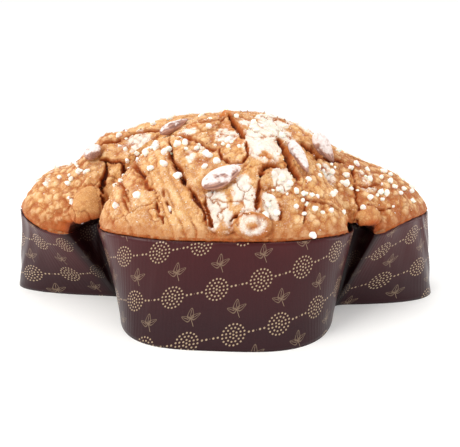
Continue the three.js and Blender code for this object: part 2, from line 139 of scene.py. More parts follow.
def inset_point(angle, outline, distance):
    """A point of the wall, moved in. Floor and rim move the same way, so that the faces never cross."""
    way = unit(inward(angle, FLOOR_OUTLINE) + inward(angle, RIM_OUTLINE))
    return on_outline(angle, outline) + way * np.asarray(distance)[..., None]


def rim_height(angle):
    lean = reach(angle, RIM_OUTLINE) - reach(angle, FLOOR_OUTLINE)
    return np.sqrt(STRIP ** 2 - lean ** 2)


fine_angle = np.linspace(0, 2 * np.pi, 5761)
rim_steps = np.linalg.norm(np.diff(on_outline(fine_angle, RIM_OUTLINE), axis=0), axis=1)
rim_travel = np.concatenate([[0], np.cumsum(rim_steps)])
RIM_LENGTH = rim_travel[-1]


def even_angles(count):
    return np.interp(np.arange(count) * RIM_LENGTH / count, rim_travel, fine_angle)


print("rim length, mm:", round(RIM_LENGTH))

# %% [markdown]
# ## Repeatable roughness
#
# Baked things are rough at every scale. We need noise that comes out the same on each run,
# so we hash the corners of a grid and blend between them. A second kind, cell noise, measures
# the distance to scattered points: it gives pebbles and the net of fine cracks in a glaze.
# Both read places in space, not on a flat map, so steep sides aren't stretched.

# %% Noise in space
def corner_value(corner, seed):
    n = corner[..., 0] * 73856093 ^ corner[..., 1] * 19349663 ^ corner[..., 2] * 83492791
    n = (n + seed * 7919) & 0x7FFFFFFF
    n = ((n ^ (n >> 13)) * 1274126177) & 0x7FFFFFFF
    n = ((n ^ (n >> 15)) * 461845907) & 0x7FFFFFFF
    return ((n ^ (n >> 16)) & 0xFFFF) / 65535.0


def noise(places, size, seed):
    """Smooth noise from -1 to 1, whose bumps are about size millimetres wide."""
    q = places / size
    base = np.floor(q).astype(np.int64)
    f = q - base
    f = f * f * (3 - 2 * f)
    total = np.zeros(len(places))
    for dx in (0, 1):
        for dy in (0, 1):
            for dz in (0, 1):
                share = (np.abs(1 - dx - f[:, 0]) * np.abs(1 - dy - f[:, 1]) * np.abs(1 - dz - f[:, 2]))
                total += share * corner_value(base + (dx, dy, dz), seed)
    return total * 2 - 1


def rough(places, size, seed, layers=3):
    """Several layers of noise, each half as wide and half as strong as the last."""
    total = np.zeros(len(places))
    for k in range(layers):
        total += noise(places, size / 2 ** k, seed + 31 * k) / 2 ** k
    return total


def cells(places, size, seed):
    """Distances to the nearest and second nearest of scattered points, and the nearest one's own number."""
    q = places / size
    base = np.floor(q).astype(np.int64)
    first = np.full(len(places), 9.0)
    second = np.full(len(places), 9.0)
    owner = np.zeros(len(places))
    for dx in (-1, 0, 1):
        for dy in (-1, 0, 1):
            for dz in (-1, 0, 1):
                corner = base + (dx, dy, dz)
                point = corner + np.stack([corner_value(corner, seed + k) for k in (1, 2, 3)], -1)
                d = np.linalg.norm(point - q, axis=1)
                nearer = d < first
                second = np.where(nearer, first, np.minimum(second, d))
                owner = np.where(nearer, corner_value(corner, seed + 9), owner)
                first = np.where(nearer, d, first)
    return first, second, owner


def drawer(seed):
    """A repeatable run of numbers between 0 and 1."""
    state = [seed]

    def draw():
        state[0] = state[0] * 16807 % 2147483647
        return state[0] / 2147483647

    return draw


print("this noise is the same on each run:", rough(np.array([(1.0, 2.0, 3.0)]), 5, 1).round(4))

# %% [markdown]
# ## Turning numbers into meshes
#
# Hundreds of thousands of points are too many for a Python loop, so we keep them in arrays
# and hand them to Blender in one go. Values that the materials need, such as how deep in a
# split a point lies, go along as attributes of the points.

# %% Mesh helpers
def make_piece(name, points, faces, attributes=None, smooth=True):
    """A mesh object from points in millimetres and a list of face arrays, each with one corner count."""
    mesh = bpy.data.meshes.new(name)
    mesh.vertices.add(len(points))
    mesh.vertices.foreach_set("co", (points * MM).astype(np.float32).ravel())
    corners = np.concatenate([f.ravel() for f in faces]).astype(np.int32)
    sizes = np.concatenate([np.full(len(f), f.shape[1]) for f in faces])
    mesh.loops.add(len(corners))
    mesh.loops.foreach_set("vertex_index", corners)
    mesh.polygons.add(len(sizes))
    mesh.polygons.foreach_set("loop_start", np.concatenate([[0], np.cumsum(sizes)[:-1]]).astype(np.int32))
    mesh.update(calc_edges=True)
    mesh.validate()
    if smooth:
        mesh.shade_smooth()
    else:
        mesh.shade_flat()
    for key, values in (attributes or {}).items():
        layer = mesh.attributes.new(key, "FLOAT", "POINT")
        layer.data.foreach_set("value", values.astype(np.float32))
    piece = bpy.data.objects.new(name, mesh)
    bpy.context.scene.collection.objects.link(piece)
    print(f"{name}: {len(points)} points, {len(sizes)} faces")
    return piece


def band(a, b):
    """Quads between two rings of point numbers, a below b, seen from outside."""
    return np.stack([a, np.roll(a, -1), np.roll(b, -1), b], -1)


def halving_band(a, b):
    """Triangles between ring a and a ring b that has half as many points."""
    even, odd = a[0::2], a[1::2]
    after, b_after = np.roll(even, -1), np.roll(b, -1)
    return np.concatenate([np.stack([even, odd, b], -1),
                           np.stack([odd, after, b_after], -1),
                           np.stack([odd, b_after, b], -1)])


def fan(ring, pole, above):
    after = np.roll(ring, -1)
    tip = np.full(len(ring), pole)
    return np.stack([ring, after, tip] if above else [tip, after, ring], -1)


# %% [markdown]
# ## The bare dome
#
# Under all its splits the crust is a dome whose foot follows the rim. In each direction it
# has the same profile, a little fuller than a paraboloid. Four creases run up from the corners
# between the lobes, and the crust is lower there, so that the paper shows its inner face.
# A few broad swellings show where glaze ran over an almond.

# %% The dome as a function of angle and reach
EDGE_INSET = 0.9
TUCKED_INSET = 3.6
TUCKED_FROM = 0.35
LIP = 2.6
NOTCH_DROP = 4.0
NOTCH_WIDTH = 6.0
UNDERCUT = (0.965, 0.995)
DOME_POWER = 0.77
DOME_LEAN = math.radians(65)
EDGE_BAND = 0.06

CREASES = [((-78, -54), (-73, -14), 7, 5), ((-78, 54), (-73, 14), 7, 5),
           ((82, -62), (78, -14), 7, 5), ((82, 62), (78, 14), 7, 5)]
SAGS = [(98, 34, 19), (-112, 13, 13), (-138, 12, -22)]
LUMPS = [((19, -94), 12, 4.5), ((3, -96), 6, 3.0), ((-86, -47), 9, 5), ((91, -54), 10, 4),
         ((12, -60), 16, 2.5), ((24, -52), 18, 2.5), ((2, -24), 8, 3), ((-84, -16), 10, 3),
         ((-20, 92), 14, 4), ((86, 52), 11, 3), ((-30, 48), 18, 2.5)]


def crease_depth(x, y):
    depth = np.zeros_like(x)
    for start, end, deep, width in CREASES:
        run = np.subtract(end, start)
        part = np.clip(((x - start[0]) * run[0] + (y - start[1]) * run[1]) / (run @ run), 0, 1)
        away = np.hypot(x - start[0] - run[0] * part, y - start[1] - run[1] * part)
        depth += deep * np.exp(-(away / width) ** 2) * (1 - part) ** 1.2
    return depth


def sag_depth(x, out):
    """How much lower the crust is across head and tail, where they rise as humps of their own."""
    return sum(deep * np.exp(-((x - at) / wide) ** 2) for at, wide, deep in SAGS) * (1 - out ** 2)


def swelling(x, y):
    rise = 0.9 * np.sin(x / 13 + 1.3 * np.sin(y / 17)) * np.cos(y / 15 - 0.8)
    for at, radius, height in LUMPS:
        rise += height * np.exp(-2 * ((x - at[0]) ** 2 + (y - at[1]) ** 2) / radius ** 2)
    return rise


def crust_plan(angle, out, corner):
    """Plan place of a crust point. In the corners the crust bridges the fold and is undercut below."""
    bridging = on_outline(angle, RIM_OUTLINE, False) + EDGE_INSET * inward(angle, RIM_OUTLINE, False)
    tucked = EDGE_INSET + (TUCKED_INSET - EDGE_INSET) * fade(corner, 0, TUCKED_FROM)
    edge = inset_point(angle, RIM_OUTLINE, tucked)
    undercut = np.asarray(fade(out, *UNDERCUT))[..., None]
    return bridging * np.asarray(out)[..., None] - (bridging - edge) * undercut


def dome_point(angle, out):
    corner = corner_share(angle, NOTCH_WIDTH, 2)
    plan = crust_plan(angle, out, corner)
    foot = rim_height(angle) + LIP - NOTCH_DROP * corner
    height = foot + (CROWN - foot) * np.maximum(1 - out ** 2, 0) ** DOME_POWER
    x, y = plan[..., 0], plan[..., 1]
    inner = np.minimum(1, (1 - out) / EDGE_BAND)
    swell = swelling(x, y) * inner
    lean = DOME_LEAN * out ** 1.2
    push = swell * np.sin(lean)
    z = height + swell * np.cos(lean) - crease_depth(x, y) * np.sqrt(inner) - sag_depth(x, out)
    return np.stack([x + push * np.cos(angle), y + push * np.sin(angle), z], -1)


def dome_at(x, y):
    angle = np.arctan2(y, x)
    out = np.minimum(0.999, np.hypot(x, y) / reach(angle, RIM_OUTLINE))
    return dome_point(angle, out)


def dome_normal(x, y, step=1.5):
    along_x = dome_at(x + step, y) - dome_at(x - step, y)
    along_y = dome_at(x, y + step) - dome_at(x, y - step)
    return unit(np.cross(along_x, along_y))


print("crown of the bare dome, mm:", round(float(dome_point(np.array(0.0), np.array(0.0))[2]), 1))

# %% [markdown]
# ## Where the glaze split
#
# Each split is a short route over the crust, with a width and a depth. The far wing cracked
# in the same manner as the near one, so its splits are those of the near side turned half
# round. Every route is smoothed, laid on the dome and walked in short steps.

# %% Routes of the splits
SPLITS = [
    (3.6, 5.5, [(-37, -44), (-31, -60), (-25, -72), (-16, -83), (-5, -95)]),
    (4.0, 5.0, [(-86, -36), (-74, -36), (-62, -45), (-50, -67), (-29, -95)]),
    (3.4, 6.0, [(-80, -34), (-78, -46), (-76, -58)]),
    (4.0, 4.5, [(-88, -27), (-74, -26), (-58, -23), (-42, -24)]),
    (3.6, 4.0, [(-36, -42), (-27, -47), (-19, -53), (-11, -58), (-3, -62)]),
    (3.2, 4.0, [(-22, -33), (-10, -35), (1, -30)]),
    (5.0, 6.0, [(2, -26), (8, -42), (13, -57)]),
    (7.0, 8.0, [(36, -43), (39, -57), (42, -66), (47, -73)]),
    (4.4, 7.0, [(24, -77), (28, -71), (37, -69)]),
    (7.5, 9.0, [(50, -29), (57, -34), (66, -36), (80, -28)]),
    (3.4, 4.0, [(82, -14), (92, -6), (104, -9)]),
    (3.0, 4.0, [(6, -93), (12, -92), (21, -91)]),
    (2.8, 3.5, [(21, -91), (23, -85), (24, -77)]),
    (3.0, 3.5, [(-8, -83), (-7, -90), (-2, -95)]),
    (2.4, 3.0, [(83, -26), (85, -38), (84, -50), (82, -58)]),
    (2.4, 3.0, [(90, -49), (97, -50), (110, -43)]),
    (4.0, 5.0, [(3, -6), (20, 4), (28, 18), (24, 34)]),
    (3.4, 4.0, [(-40, -4), (-32, 12), (-12, 20), (6, 16)]),
]
THIN_SPLITS = [
    (2.0, 2.4, [(-74, -46), (-66, -58), (-58, -72), (-53, -82)]),
    (2.4, 3.0, [(-2, -60), (1, -68), (8, -70), (15, -68), (14, -58)]),
    (2.6, 3.0, [(26, -12), (38, -13), (52, -18)]),
    (2.0, 2.4, [(49, -79), (50, -84), (48, -90)]),
    (2.0, 2.4, [(46, -82), (54, -80), (64, -74), (73, -70)]),
    (1.8, 2.2, [(34, -84), (36, -89), (33, -94)]),
    (2.2, 2.6, [(84, -41), (92, -41), (103, -33)]),
    (1.8, 2.2, [(-59, -71), (-56, -80), (-50, -88)]),
    (1.8, 2.2, [(-34, -78), (-31, -85), (-27, -91)]),
]
FAR_SIDE_FROM = 40
FAR_SIDE_SCALE = 0.95
ROUTE_STEPS = 6


def far_side(splits):
    """The outer splits of the near side, turned half round."""
    return [(width, depth, [(-x * FAR_SIDE_SCALE, -y * FAR_SIDE_SCALE) for x, y in route])
            for width, depth, route in splits if route[0][1] < -FAR_SIDE_FROM]


def smooth_route(points, steps):
    """Points along a smooth curve through the given ones."""
    p = np.array([points[0], *points, points[-1]], float)
    out = []
    for i in range(1, len(p) - 2):
        t = np.linspace(0, 1, steps, endpoint=False)[:, None]
        a, b, c, d = p[i - 1:i + 3]
        out.append(0.5 * (2 * b + (c - a) * t + (2 * a - 5 * b + 4 * c - d) * t ** 2
                          + (3 * b - a - 3 * c + d) * t ** 3))
    return np.concatenate([*out, p[-2:-1]])


def distance_to_route(places, route):
    """Distance of each place to a chain of points, and how far along the chain that is, 0 to 1."""
    best = np.full(len(places), 1e9)
    along = np.zeros(len(places))
    for i in range(len(route) - 1):
        run = route[i + 1] - route[i]
        part = np.clip((places - route[i]) @ run / (run @ run), 0, 1)
        d = np.linalg.norm(places - route[i] - part[:, None] * run, axis=1)
        nearer = d < best
        best[nearer] = d[nearer]
        along[nearer] = (i + part[nearer]) / (len(route) - 1)
    return best, along


all_splits = SPLITS + far_side(SPLITS)
thin_splits = THIN_SPLITS + far_side(THIN_SPLITS)
print("splits:", len(all_splits), "and thin ones:", len(thin_splits))

# %% [markdown]
# ## Almonds: where they lie
#
# The almonds come before the crust in this lesson, because the glaze sinks a little round
# each of them. Each has a place on the crust, the direction of its point, a pitch and a
# roll, its size, and how much of its thickness is sunk. The last number is how thickly
# sugar powder covers it.

# %% Places of the almonds
ALMONDS = [
    (-34, -30, 40, 5, 8, (23, 12, 7.5), 0.25, 0.35),
    (-89, -31, 92, 24, 2, (20, 12, 8.5), 0.25, 0.6),
    (2, -77, 54, 13, -21, (29, 15, 9), 0.35, 0.7),
    (47, -55, 303, -1, -26, (27, 13, 8), 0.3, 0.8),
    (64, -30, 328, 26, 16, (22, 12, 8), 0.2, 0.85),
    (-30, 62, 150, 0, 15, (26, 14, 8.5), 0.35, 0.5),
    (36, 70, 70, 0, 35, (25, 13, 8), 0.3, 0.3),
    (72, 30, 200, 0, 10, (24, 13, 8), 0.3, 0.6),
    (-84, 30, 110, 0, 30, (24, 13, 8), 0.3, 0.4),
    (2, 36, 330, 0, 10, (25, 13, 8), 0.3, 0.6),
    (-114, 34, 190, 0, 15, (25, 13, 8), 0.35, 0.35),
    (104, 36, 350, 0, 25, (24, 12, 8), 0.3, 0.4),
]


def almond_frame(x, y, heading, pitch, roll, size, sunk):
    """Rotation (as columns) and middle of an almond that lies on the crust."""
    normal = dome_normal(np.array(x, float), np.array(y, float))
    ahead = np.array([math.cos(math.radians(heading)), math.sin(math.radians(heading)), 0])
    side = np.cross(normal, ahead)
    side /= np.linalg.norm(side)
    basis = np.stack([np.cross(side, normal), side, normal], -1)
    p, r = math.radians(pitch), math.radians(roll)
    about_y = np.array([[math.cos(p), 0, math.sin(p)], [0, 1, 0], [-math.sin(p), 0, math.cos(p)]])
    about_x = np.array([[1, 0, 0], [0, math.cos(r), -math.sin(r)], [0, math.sin(r), math.cos(r)]])
    lift = size[2] * (0.5 - sunk) + (size[1] - size[2]) / 2 * math.sin(r)
    middle = dome_at(np.array(x, float), np.array(y, float)) + normal * lift
    return basis @ about_y @ about_x, middle


almond_frames = [almond_frame(*a[:7]) for a in ALMONDS]
print("almonds:", len(almond_frames))

# %% [markdown]
# ## The grid of the crust
#
# We walk rings from the rim to the crown. Rings near the crown are short, so each time the
# reach halves we drop every second point. That keeps most faces about two thirds of a
# millimetre wide, fine enough for the splits, while a plain fan would crowd the middle.

# %% Rings of the crust
RIM_POINTS = 1344
RING_STEP = 0.66
LIP_RINGS = 7
EDGE_START = 0.5
EDGE_DROP = 4.5
MEAN_REACH = 120
MEAN_RISE = 68
ANGLE_STEP = 0.006

turn = np.linspace(0, np.pi / 2, 2000)
mean_profile = np.stack([MEAN_REACH * np.cos(turn), MEAN_RISE * np.sin(turn) ** (2 * DOME_POWER)], -1)
profile_travel = np.concatenate([[0], np.cumsum(np.linalg.norm(np.diff(mean_profile, axis=0), axis=1))])
ring_count = int(profile_travel[-1] / RING_STEP)
ring_outs = np.cos(np.interp(np.linspace(0, profile_travel[-1], ring_count + 1)[:-1], profile_travel, turn))

ring_angles, ring_of_out = [], []
stride = 1
for out in ring_outs:
    while stride < 32 and out < 0.55 / stride:
        stride *= 2
    ring_angles.append(even_angles(RIM_POINTS)[::stride])
    ring_of_out.append(np.full(RIM_POINTS // stride, out))
grid_angle = np.concatenate(ring_angles)
grid_out = np.concatenate(ring_of_out)
smooth_points = dome_point(grid_angle, grid_out)
round_dome = dome_point(grid_angle + ANGLE_STEP, grid_out) - dome_point(grid_angle - ANGLE_STEP, grid_out)
up_dome = (dome_point(grid_angle, np.maximum(grid_out - ANGLE_STEP, 0.0005))
           - dome_point(grid_angle, np.minimum(grid_out + ANGLE_STEP, 1)))
crust_normals = unit(np.cross(round_dome, up_dome))
print("rings:", ring_count, "crust points:", len(grid_angle))

# %% [markdown]
# ## What the oven did to the glaze
#
# Three things shape the surface. Splits open where the dough swelled. Along the near wing
# the dough pulled the glaze into long parallel lines. Elsewhere the glaze dried into
# pebbles with a net of hair cracks between them. We add them up as one height over the dome
# and, for the colours, note how deep in a split each point is, how near an edge, and how
# much sugar it caught.

# %% Splits
places = smooth_points
wobble = np.stack([rough(places, 9, k, 3) for k in (11, 12, 13)], -1)
crumbly = np.stack([rough(places, 2.4, k, 2) for k in (14, 15, 16)], -1)
warped = places + 1.5 * wobble + 0.55 * crumbly
relief = np.zeros(len(places))
in_split = np.zeros(len(places))
near_split = np.zeros(len(places))
SPLIT_END = 0.35
SPLIT_MARGIN = 12
ragged = noise(places, 2.2, 21)
for width, depth, route in all_splits + thin_splits:
    plan = smooth_route(route, ROUTE_STEPS)
    path = dome_at(plan[:, 0], plan[:, 1])
    low, high = path.min(0) - SPLIT_MARGIN, path.max(0) + SPLIT_MARGIN
    close = np.where(((warped > low) & (warped < high)).all(1))[0]
    away, along = distance_to_route(warped[close], path)
    size = SPLIT_END + (1 - SPLIT_END) * np.sin(np.pi * np.clip(along, 0, 1)) ** 0.7
    size *= fade(along, -0.02, 0.05) * (1 - fade(along, 0.95, 1.02) * 0.6)
    half = np.maximum(width / 2 * size * (1 + 0.35 * ragged[close]), 0.15)
    open_share = np.clip(1 - (away / half) ** 2, 0, 1)
    shoulder = np.exp(-((away - half) / 1.5) ** 2) * (away > half) * size
    relief[close] -= depth * size * open_share ** 0.6
    relief[close] += 0.6 * shoulder
    # Deeper splits reach higher values, which the material paints darker: partly the dough's own brown,
    # partly painted shade.
    in_split[close] = np.maximum(in_split[close], open_share ** 0.5 * fade(size, 0, 0.5) * (0.6 + depth / 12))
    near_split[close] = np.maximum(near_split[close], np.exp(-np.maximum(away - half, 0) / 1.6) * size)
print("share of the crust inside a split:", round(float((in_split > 0.2).mean()), 3), "and deep in one:",
      round(float((in_split > 0.9).mean()), 3))

# %% [markdown]
# On the near wing the dough pulled the glaze into long lines that run with the two great
# splits. So the lines are drawn at even distances from those splits, and noise lets them
# fade out here and there.

# %% Stretch lines of the near wing, and their like on the far wing
STRETCH_APART = 4.6
STRETCH_DEEP = 1.2
FIRST_SPLIT = smooth_route(SPLITS[0][2], ROUTE_STEPS)
SECOND_SPLIT = smooth_route(SPLITS[1][2], ROUTE_STEPS)


def side_distance(x, y, line):
    """Signed plan distance to a line, positive on its left as one looks along it."""
    best = np.full(len(x), 1e9)
    signed = np.zeros(len(x))
    for (x0, y0), (x1, y1) in zip(line[:-1], line[1:]):
        run_x, run_y = x1 - x0, y1 - y0
        part = np.clip(((x - x0) * run_x + (y - y0) * run_y) / (run_x ** 2 + run_y ** 2), 0, 1)
        off_x, off_y = x - x0 - run_x * part, y - y0 - run_y * part
        away = np.hypot(off_x, off_y)
        nearer = away < best
        best[nearer] = away[nearer]
        signed[nearer] = (np.sign(run_x * off_y - run_y * off_x) * away)[nearer]
    return signed


def stretch_lines(x, y):
    """How strongly the glaze is drawn into lines at each place, and the height of the lines."""
    to_first = -side_distance(x, y, FIRST_SPLIT)
    to_second = -side_distance(x, y, SECOND_SPLIT)
    between = fade(to_first, -4, 0) * (1 - fade(to_second, -1, 1))
    left_panel = fade(to_second, 0, 2) * fade(x, -84, -76)
    share = np.maximum(between, left_panel * 0.45) * fade(-y, 30, 50)
    distance = np.where(to_second > 0, to_second, to_first)
    phase = 2 * np.pi * (distance + 0.6 * wobble[:, 0] + 0.4 * crumbly[:, 1]) / STRETCH_APART
    groove = 1 - np.abs(np.sin(phase / 2))
    return share, share * (0.45 - groove ** 2.5)


stretch = np.zeros(len(places))
stretch_share = np.zeros(len(places))
patchy = 0.35 + 0.65 * fade(rough(places, 15, 41), -0.7, 0.3)
for side in (1, -1):
    share, height = stretch_lines(side * places[:, 0], side * places[:, 1])
    stretch += STRETCH_DEEP * height * patchy
    stretch_share = np.maximum(stretch_share, share)
relief += stretch
print("share of the crust drawn into lines:", round(float((stretch_share > 0.5).mean()), 2))

# %% [markdown]
# Elsewhere the glaze dried into pebbles, thickest on head and tail. Hair cracks run between
# some of the pebbles, and a coarser net of cracks parts whole plates. Over all of it lies
# the grain of ground almonds.

# %% Pebbles, hair cracks and grain
PEBBLE_SIZE = 5.2
PEBBLE_SEED = 51

first, second, _ = cells(warped, PEBBLE_SIZE, PEBBLE_SEED)
pebble = np.clip(1 - (first * 1.2) ** 2, 0, 1)
pebble_line = 1 - fade(second - first, 0.02, 0.16)
small_first, _, _ = cells(places + 0.5 * crumbly, 2.3, 55)
small_pebble = np.clip(1 - (small_first * 1.2) ** 2, 0, 1)
plate_first, plate_second, plate_owner = cells(places + 3.0 * wobble + 0.9 * crumbly, 16, 61)
plate_patchy = fade(rough(places, 24, 63), -0.35, 0.35)
plate_edge = (1 - fade(plate_second - plate_first, 0.015, 0.07)) * plate_patchy
on_lobe = np.clip(fade(-places[:, 0], 78, 96) + fade(places[:, 0], 30, 60), 0, 1)
in_patches = np.maximum(on_lobe, fade(rough(places, 28, 71), 0, 0.6))
pebble_share = (1 - 0.85 * stretch_share) * (0.3 + 0.7 * in_patches)
grain = rough(places, 3.4, 81, 3)
fine_relief = (pebble_share * (pebble - 0.55) + 0.3 * (small_pebble - 0.5) * (1 - 0.4 * stretch_share)
               + 0.26 * grain + 0.14 * rough(places, 1.5, 85, 2))
relief += fine_relief
relief -= 1.0 * plate_edge * (1 - 0.6 * stretch_share)
relief += 0.9 * (plate_owner - 0.5) * (1 - plate_edge) * plate_patchy
relief += in_split * (0.9 * noise(places, 3.1, 83) + 0.5 * crumbly[:, 0])
# How low each point lies among the pebbles. The material paints these hollows darker, a painted shade, and
# the tops paler, a painted highlight. The powder also thins in them.
hollow_painted_shade = np.clip(0.5 - 0.75 * fine_relief - 0.5 * stretch, 0, 1)
print("fine relief, mm:", round(float(fine_relief.min()), 1), "to", round(float(fine_relief.max()), 1))

# %% [markdown]
# In a few places the glaze ran over an almond or a bubble of dough and baked to a separate
# knob. Each knob is a low ellipsoid pushed out of the surface, with a brown groove round it.

# %% Knobs
KNOBS = [((19, -94), 11, 7.5, 4.0), ((3, -95), 6, 3.6, 2.2), ((-85, -50), 11, 12, 5.0),
         ((90, -55), 9, 7, 2.0), ((2, -24), 6, 4, 1.6), ((-20, 89), 13, 9, 3.6),
         ((88, 46), 9, 8, 3.4), ((-92, 44), 8, 8, 3.0)]
SUGARED_KNOB = (19, -94)
KNOB_THICK = 14
knob_groove = np.zeros(len(places))
on_knob = np.zeros(len(places))
knob_sugar = np.zeros(len(places))
for at, half_wide, half_high, rise in KNOBS:
    top = dome_at(np.array(float(at[0])), np.array(float(at[1])))
    normal = dome_normal(np.array(float(at[0])), np.array(float(at[1])))
    level_way = unit(np.cross((0, 0, 1), normal))
    off = places + 0.6 * wobble + 0.25 * crumbly - top
    ring = np.hypot(off @ level_way / half_wide, off @ np.cross(normal, level_way) / half_high)
    ring = np.hypot(ring, off @ normal / KNOB_THICK)
    relief += rise * np.sqrt(np.clip(1 - ring ** 2, 0, 1))
    on_knob = np.maximum(on_knob, 1 - fade(ring, 0.8, 1.0))
    knob_groove = np.maximum(knob_groove, np.exp(-((ring - 1.06) / 0.1) ** 2))
    if at == SUGARED_KNOB:
        knob_sugar = np.maximum(knob_sugar, np.exp(-((ring - 0.42) / 0.26) ** 2))
relief -= fine_relief * on_knob * 0.4
hollow_painted_shade = hollow_painted_shade + (0.45 - hollow_painted_shade) * on_knob
relief -= 1.2 * knob_groove
print("knobs:", len(KNOBS))

# %% The glaze round the almonds
almond_edge = np.zeros(len(places))
for (turn_in, middle), (*_, size, _, _) in zip(almond_frames, ALMONDS):
    local = (places - middle) @ turn_in
    ring = np.linalg.norm(local / (np.array(size) / 2 + 0.2), axis=1)
    almond_edge = np.maximum(almond_edge, np.exp(-((ring - 1.08) / 0.16) ** 2))
relief -= 0.9 * almond_edge

relief *= 0.6 + 0.4 * fade(1 - grid_out, 0, 0.01)
# Painted shade: near the rim in the corners between the lobes the crust gets the split colours, up to near
# black.
notch_painted_shade = corner_share(grid_angle, NOTCH_WIDTH, 2) * fade(grid_out, 0.95, 0.985)
in_split = np.maximum(in_split, 1.5 * notch_painted_shade)
crust_points = smooth_points + crust_normals * relief[:, None]
print("whole relief, mm:", round(float(relief.min()), 1), "to", round(float(relief.max()), 1))

# %% [markdown]
# ## Sugar powder
#
# The powder fell from above in several shakes. It lies in patches on flat plates, and it
# stays out of the splits. We describe the patches by place and size, and break their edges
# up with noise.

# %% Where the powder lies
POWDER = [
    ((25, -52), 18, 1.0), ((34, -34), 17, 0.95), ((17, -34), 9, 0.8), ((-1, -89), 8, 0.95),
    ((15, -84), 9, 0.9), ((29, -87), 6, 0.9), ((36, -74), 7, 0.9), ((3, -50), 10, 0.85),
    ((-14, -62), 9, 0.6), ((-50, -34), 8, 0.7), ((-24, -46), 9, 0.6), ((-60, -31), 12, 0.75),
    ((-12, -36), 9, 0.5), ((66, -44), 6, 0.7), ((6, -96), 6, 0.8), ((19, -94), 8, 0.95),
    ((90, -34), 12, 0.55), ((-124, -24), 16, 0.5), ((-112, 4), 20, 0.6),
    ((34, -12), 16, 0.85), ((60, -10), 14, 0.6), ((-60, 0), 16, 0.5), ((0, 12), 16, 0.55),
    ((-30, 44), 18, 0.9), ((-10, 84), 12, 0.85), ((34, 54), 16, 0.6), ((76, 24), 16, 0.6),
    ((112, 4), 16, 0.5), ((-78, 40), 14, 0.5),
]
powder = np.zeros(len(places))
for at, radius, strength in POWDER:
    away = np.hypot(places[:, 0] - at[0], places[:, 1] - at[1])
    powder = np.maximum(powder, strength * np.exp(-(away / radius) ** 4))
flat_share = fade(crust_normals[:, 2], 0.15, 0.6)
speckle = rough(places, 6.5, 91, 4)
powder = fade(powder * (0.55 + 0.45 * flat_share) + 0.3 * speckle - 0.12 * hollow_painted_shade, 0.35, 0.8)
powder = np.maximum(powder, (0.23 - 0.07 * on_lobe) * flat_share)
powder *= (1 - fade(in_split, 0.05, 0.4)) * (1 - 0.6 * plate_edge)
powder = np.maximum(powder, 0.8 * knob_sugar)
toast = 0.5 + 0.5 * rough(places, 26, 95, 3)
toast += 0.5 * fade(places[:, 0], 20, 110) + 0.55 * fade(-places[:, 0], 76, 100)
print("share of the crust under powder:", round(float((powder > 0.5).mean()), 2))

# %% Bare places, where the glaze tore off and the amber dough shows
BARE = [((2, -24), 9), ((6, -40), 7), ((16, -58), 7), ((28, -68), 6), ((40, -54), 6), ((-22, -36), 6),
        ((40, -70), 5), ((22, -93), 5), ((20, 40), 10), ((-40, 70), 9)]
bare = np.zeros(len(places))
for at, radius in BARE:
    away = np.hypot(places[:, 0] - at[0], places[:, 1] - at[1]) + 2.5 * wobble[:, 0] + 1.2 * crumbly[:, 0]
    bare = np.maximum(bare, np.exp(-(np.maximum(away, 0) / radius) ** 4))
bare *= 1 - powder
print("bare places:", len(BARE))

# %% [markdown]
# ## The cake itself
#
# The crust closes over the rim with a rounded lip, and under it the cake fills the case down
# to the floor. That part never shows, but it makes the piece one closed body.

# %% Lip, foot and skin of the cake
rim_angles = even_angles(RIM_POINTS)
corner = corner_share(rim_angles, NOTCH_WIDTH, 2)
inset = PAPER + GAP
LIP_BULGE = 0.011


def level(points, height):
    return np.concatenate([points, np.broadcast_to(height, len(points))[:, None]], 1)


foot_ring = level(inset_point(rim_angles, FLOOR_OUTLINE, inset), inset)
wall_ring = level(inset_point(rim_angles, RIM_OUTLINE, inset), rim_height(rim_angles))
past = (wall_ring[:, 2] + EDGE_START - EDGE_DROP * corner - inset) / (wall_ring[:, 2] - inset)
lip_ring = foot_ring + (wall_ring - foot_ring) * past[:, None]
below_ring = foot_ring + (wall_ring - foot_ring) * 0.9
edge_ring = crust_points[:RIM_POINTS]

rings = [foot_ring, below_ring, lip_ring]
# How far down the lip each ring lies. The material paints the lip darker towards the paper, a painted shade
# in the gap between crust and case.
lip_shade_steps = [1.0, 1.0, 1.0]
for k in range(1, LIP_RINGS):
    quarter = k / LIP_RINGS * np.pi / 2
    ring = lip_ring.copy()
    ring[:, :2] += (edge_ring - lip_ring)[:, :2] * math.sin(quarter)
    ring[:, 2] += (edge_ring - lip_ring)[:, 2] * (1 - math.cos(quarter))
    lip_first = cells(ring, PEBBLE_SIZE, PEBBLE_SEED)[0]
    lip_pebble = 1 - (lip_first * 1.2) ** 2 + 0.5 * rough(ring, 2.4, 29, 3)
    ring[:, :2] *= 1 + LIP_BULGE * math.sin(quarter) * (lip_pebble - 0.7)[:, None]
    rings.append(ring)
    lip_shade_steps.append(1 - math.sin(quarter))
low_points = np.concatenate(rings)
cake_points = np.concatenate([low_points, crust_points, [dome_point(np.array(0.0), np.array(0.0))],
                              [(0, 0, inset)]])

low_count = len(low_points)
lip_crumbs = rough(low_points, 2.4, 27, 3)
lip_painted_shade = np.repeat(lip_shade_steps, RIM_POINTS)
faces4, faces3 = [], []
ids = np.arange(RIM_POINTS)
faces3.append(fan(ids, len(cake_points) - 1, False))
last = ids
for k in range(1, len(rings)):
    faces4.append(band(last, ids + k * RIM_POINTS))
    last = ids + k * RIM_POINTS
start = low_count
for angles in ring_angles:
    ring = np.arange(start, start + len(angles))
    if len(ring) == len(last):
        faces4.append(band(last, ring))
    else:
        faces3.append(halving_band(last, ring))
    last = ring
    start += len(angles)
faces3.append(fan(last, len(cake_points) - 2, True))


def with_low(values, low_value, uneven=0.0):
    """Attribute values for the whole cake. The low rings get one value, with the crumbs of the lip in it."""
    low_values = low_value + uneven * lip_crumbs
    return np.concatenate([low_values, values, [values[-1], low_values[0]]])


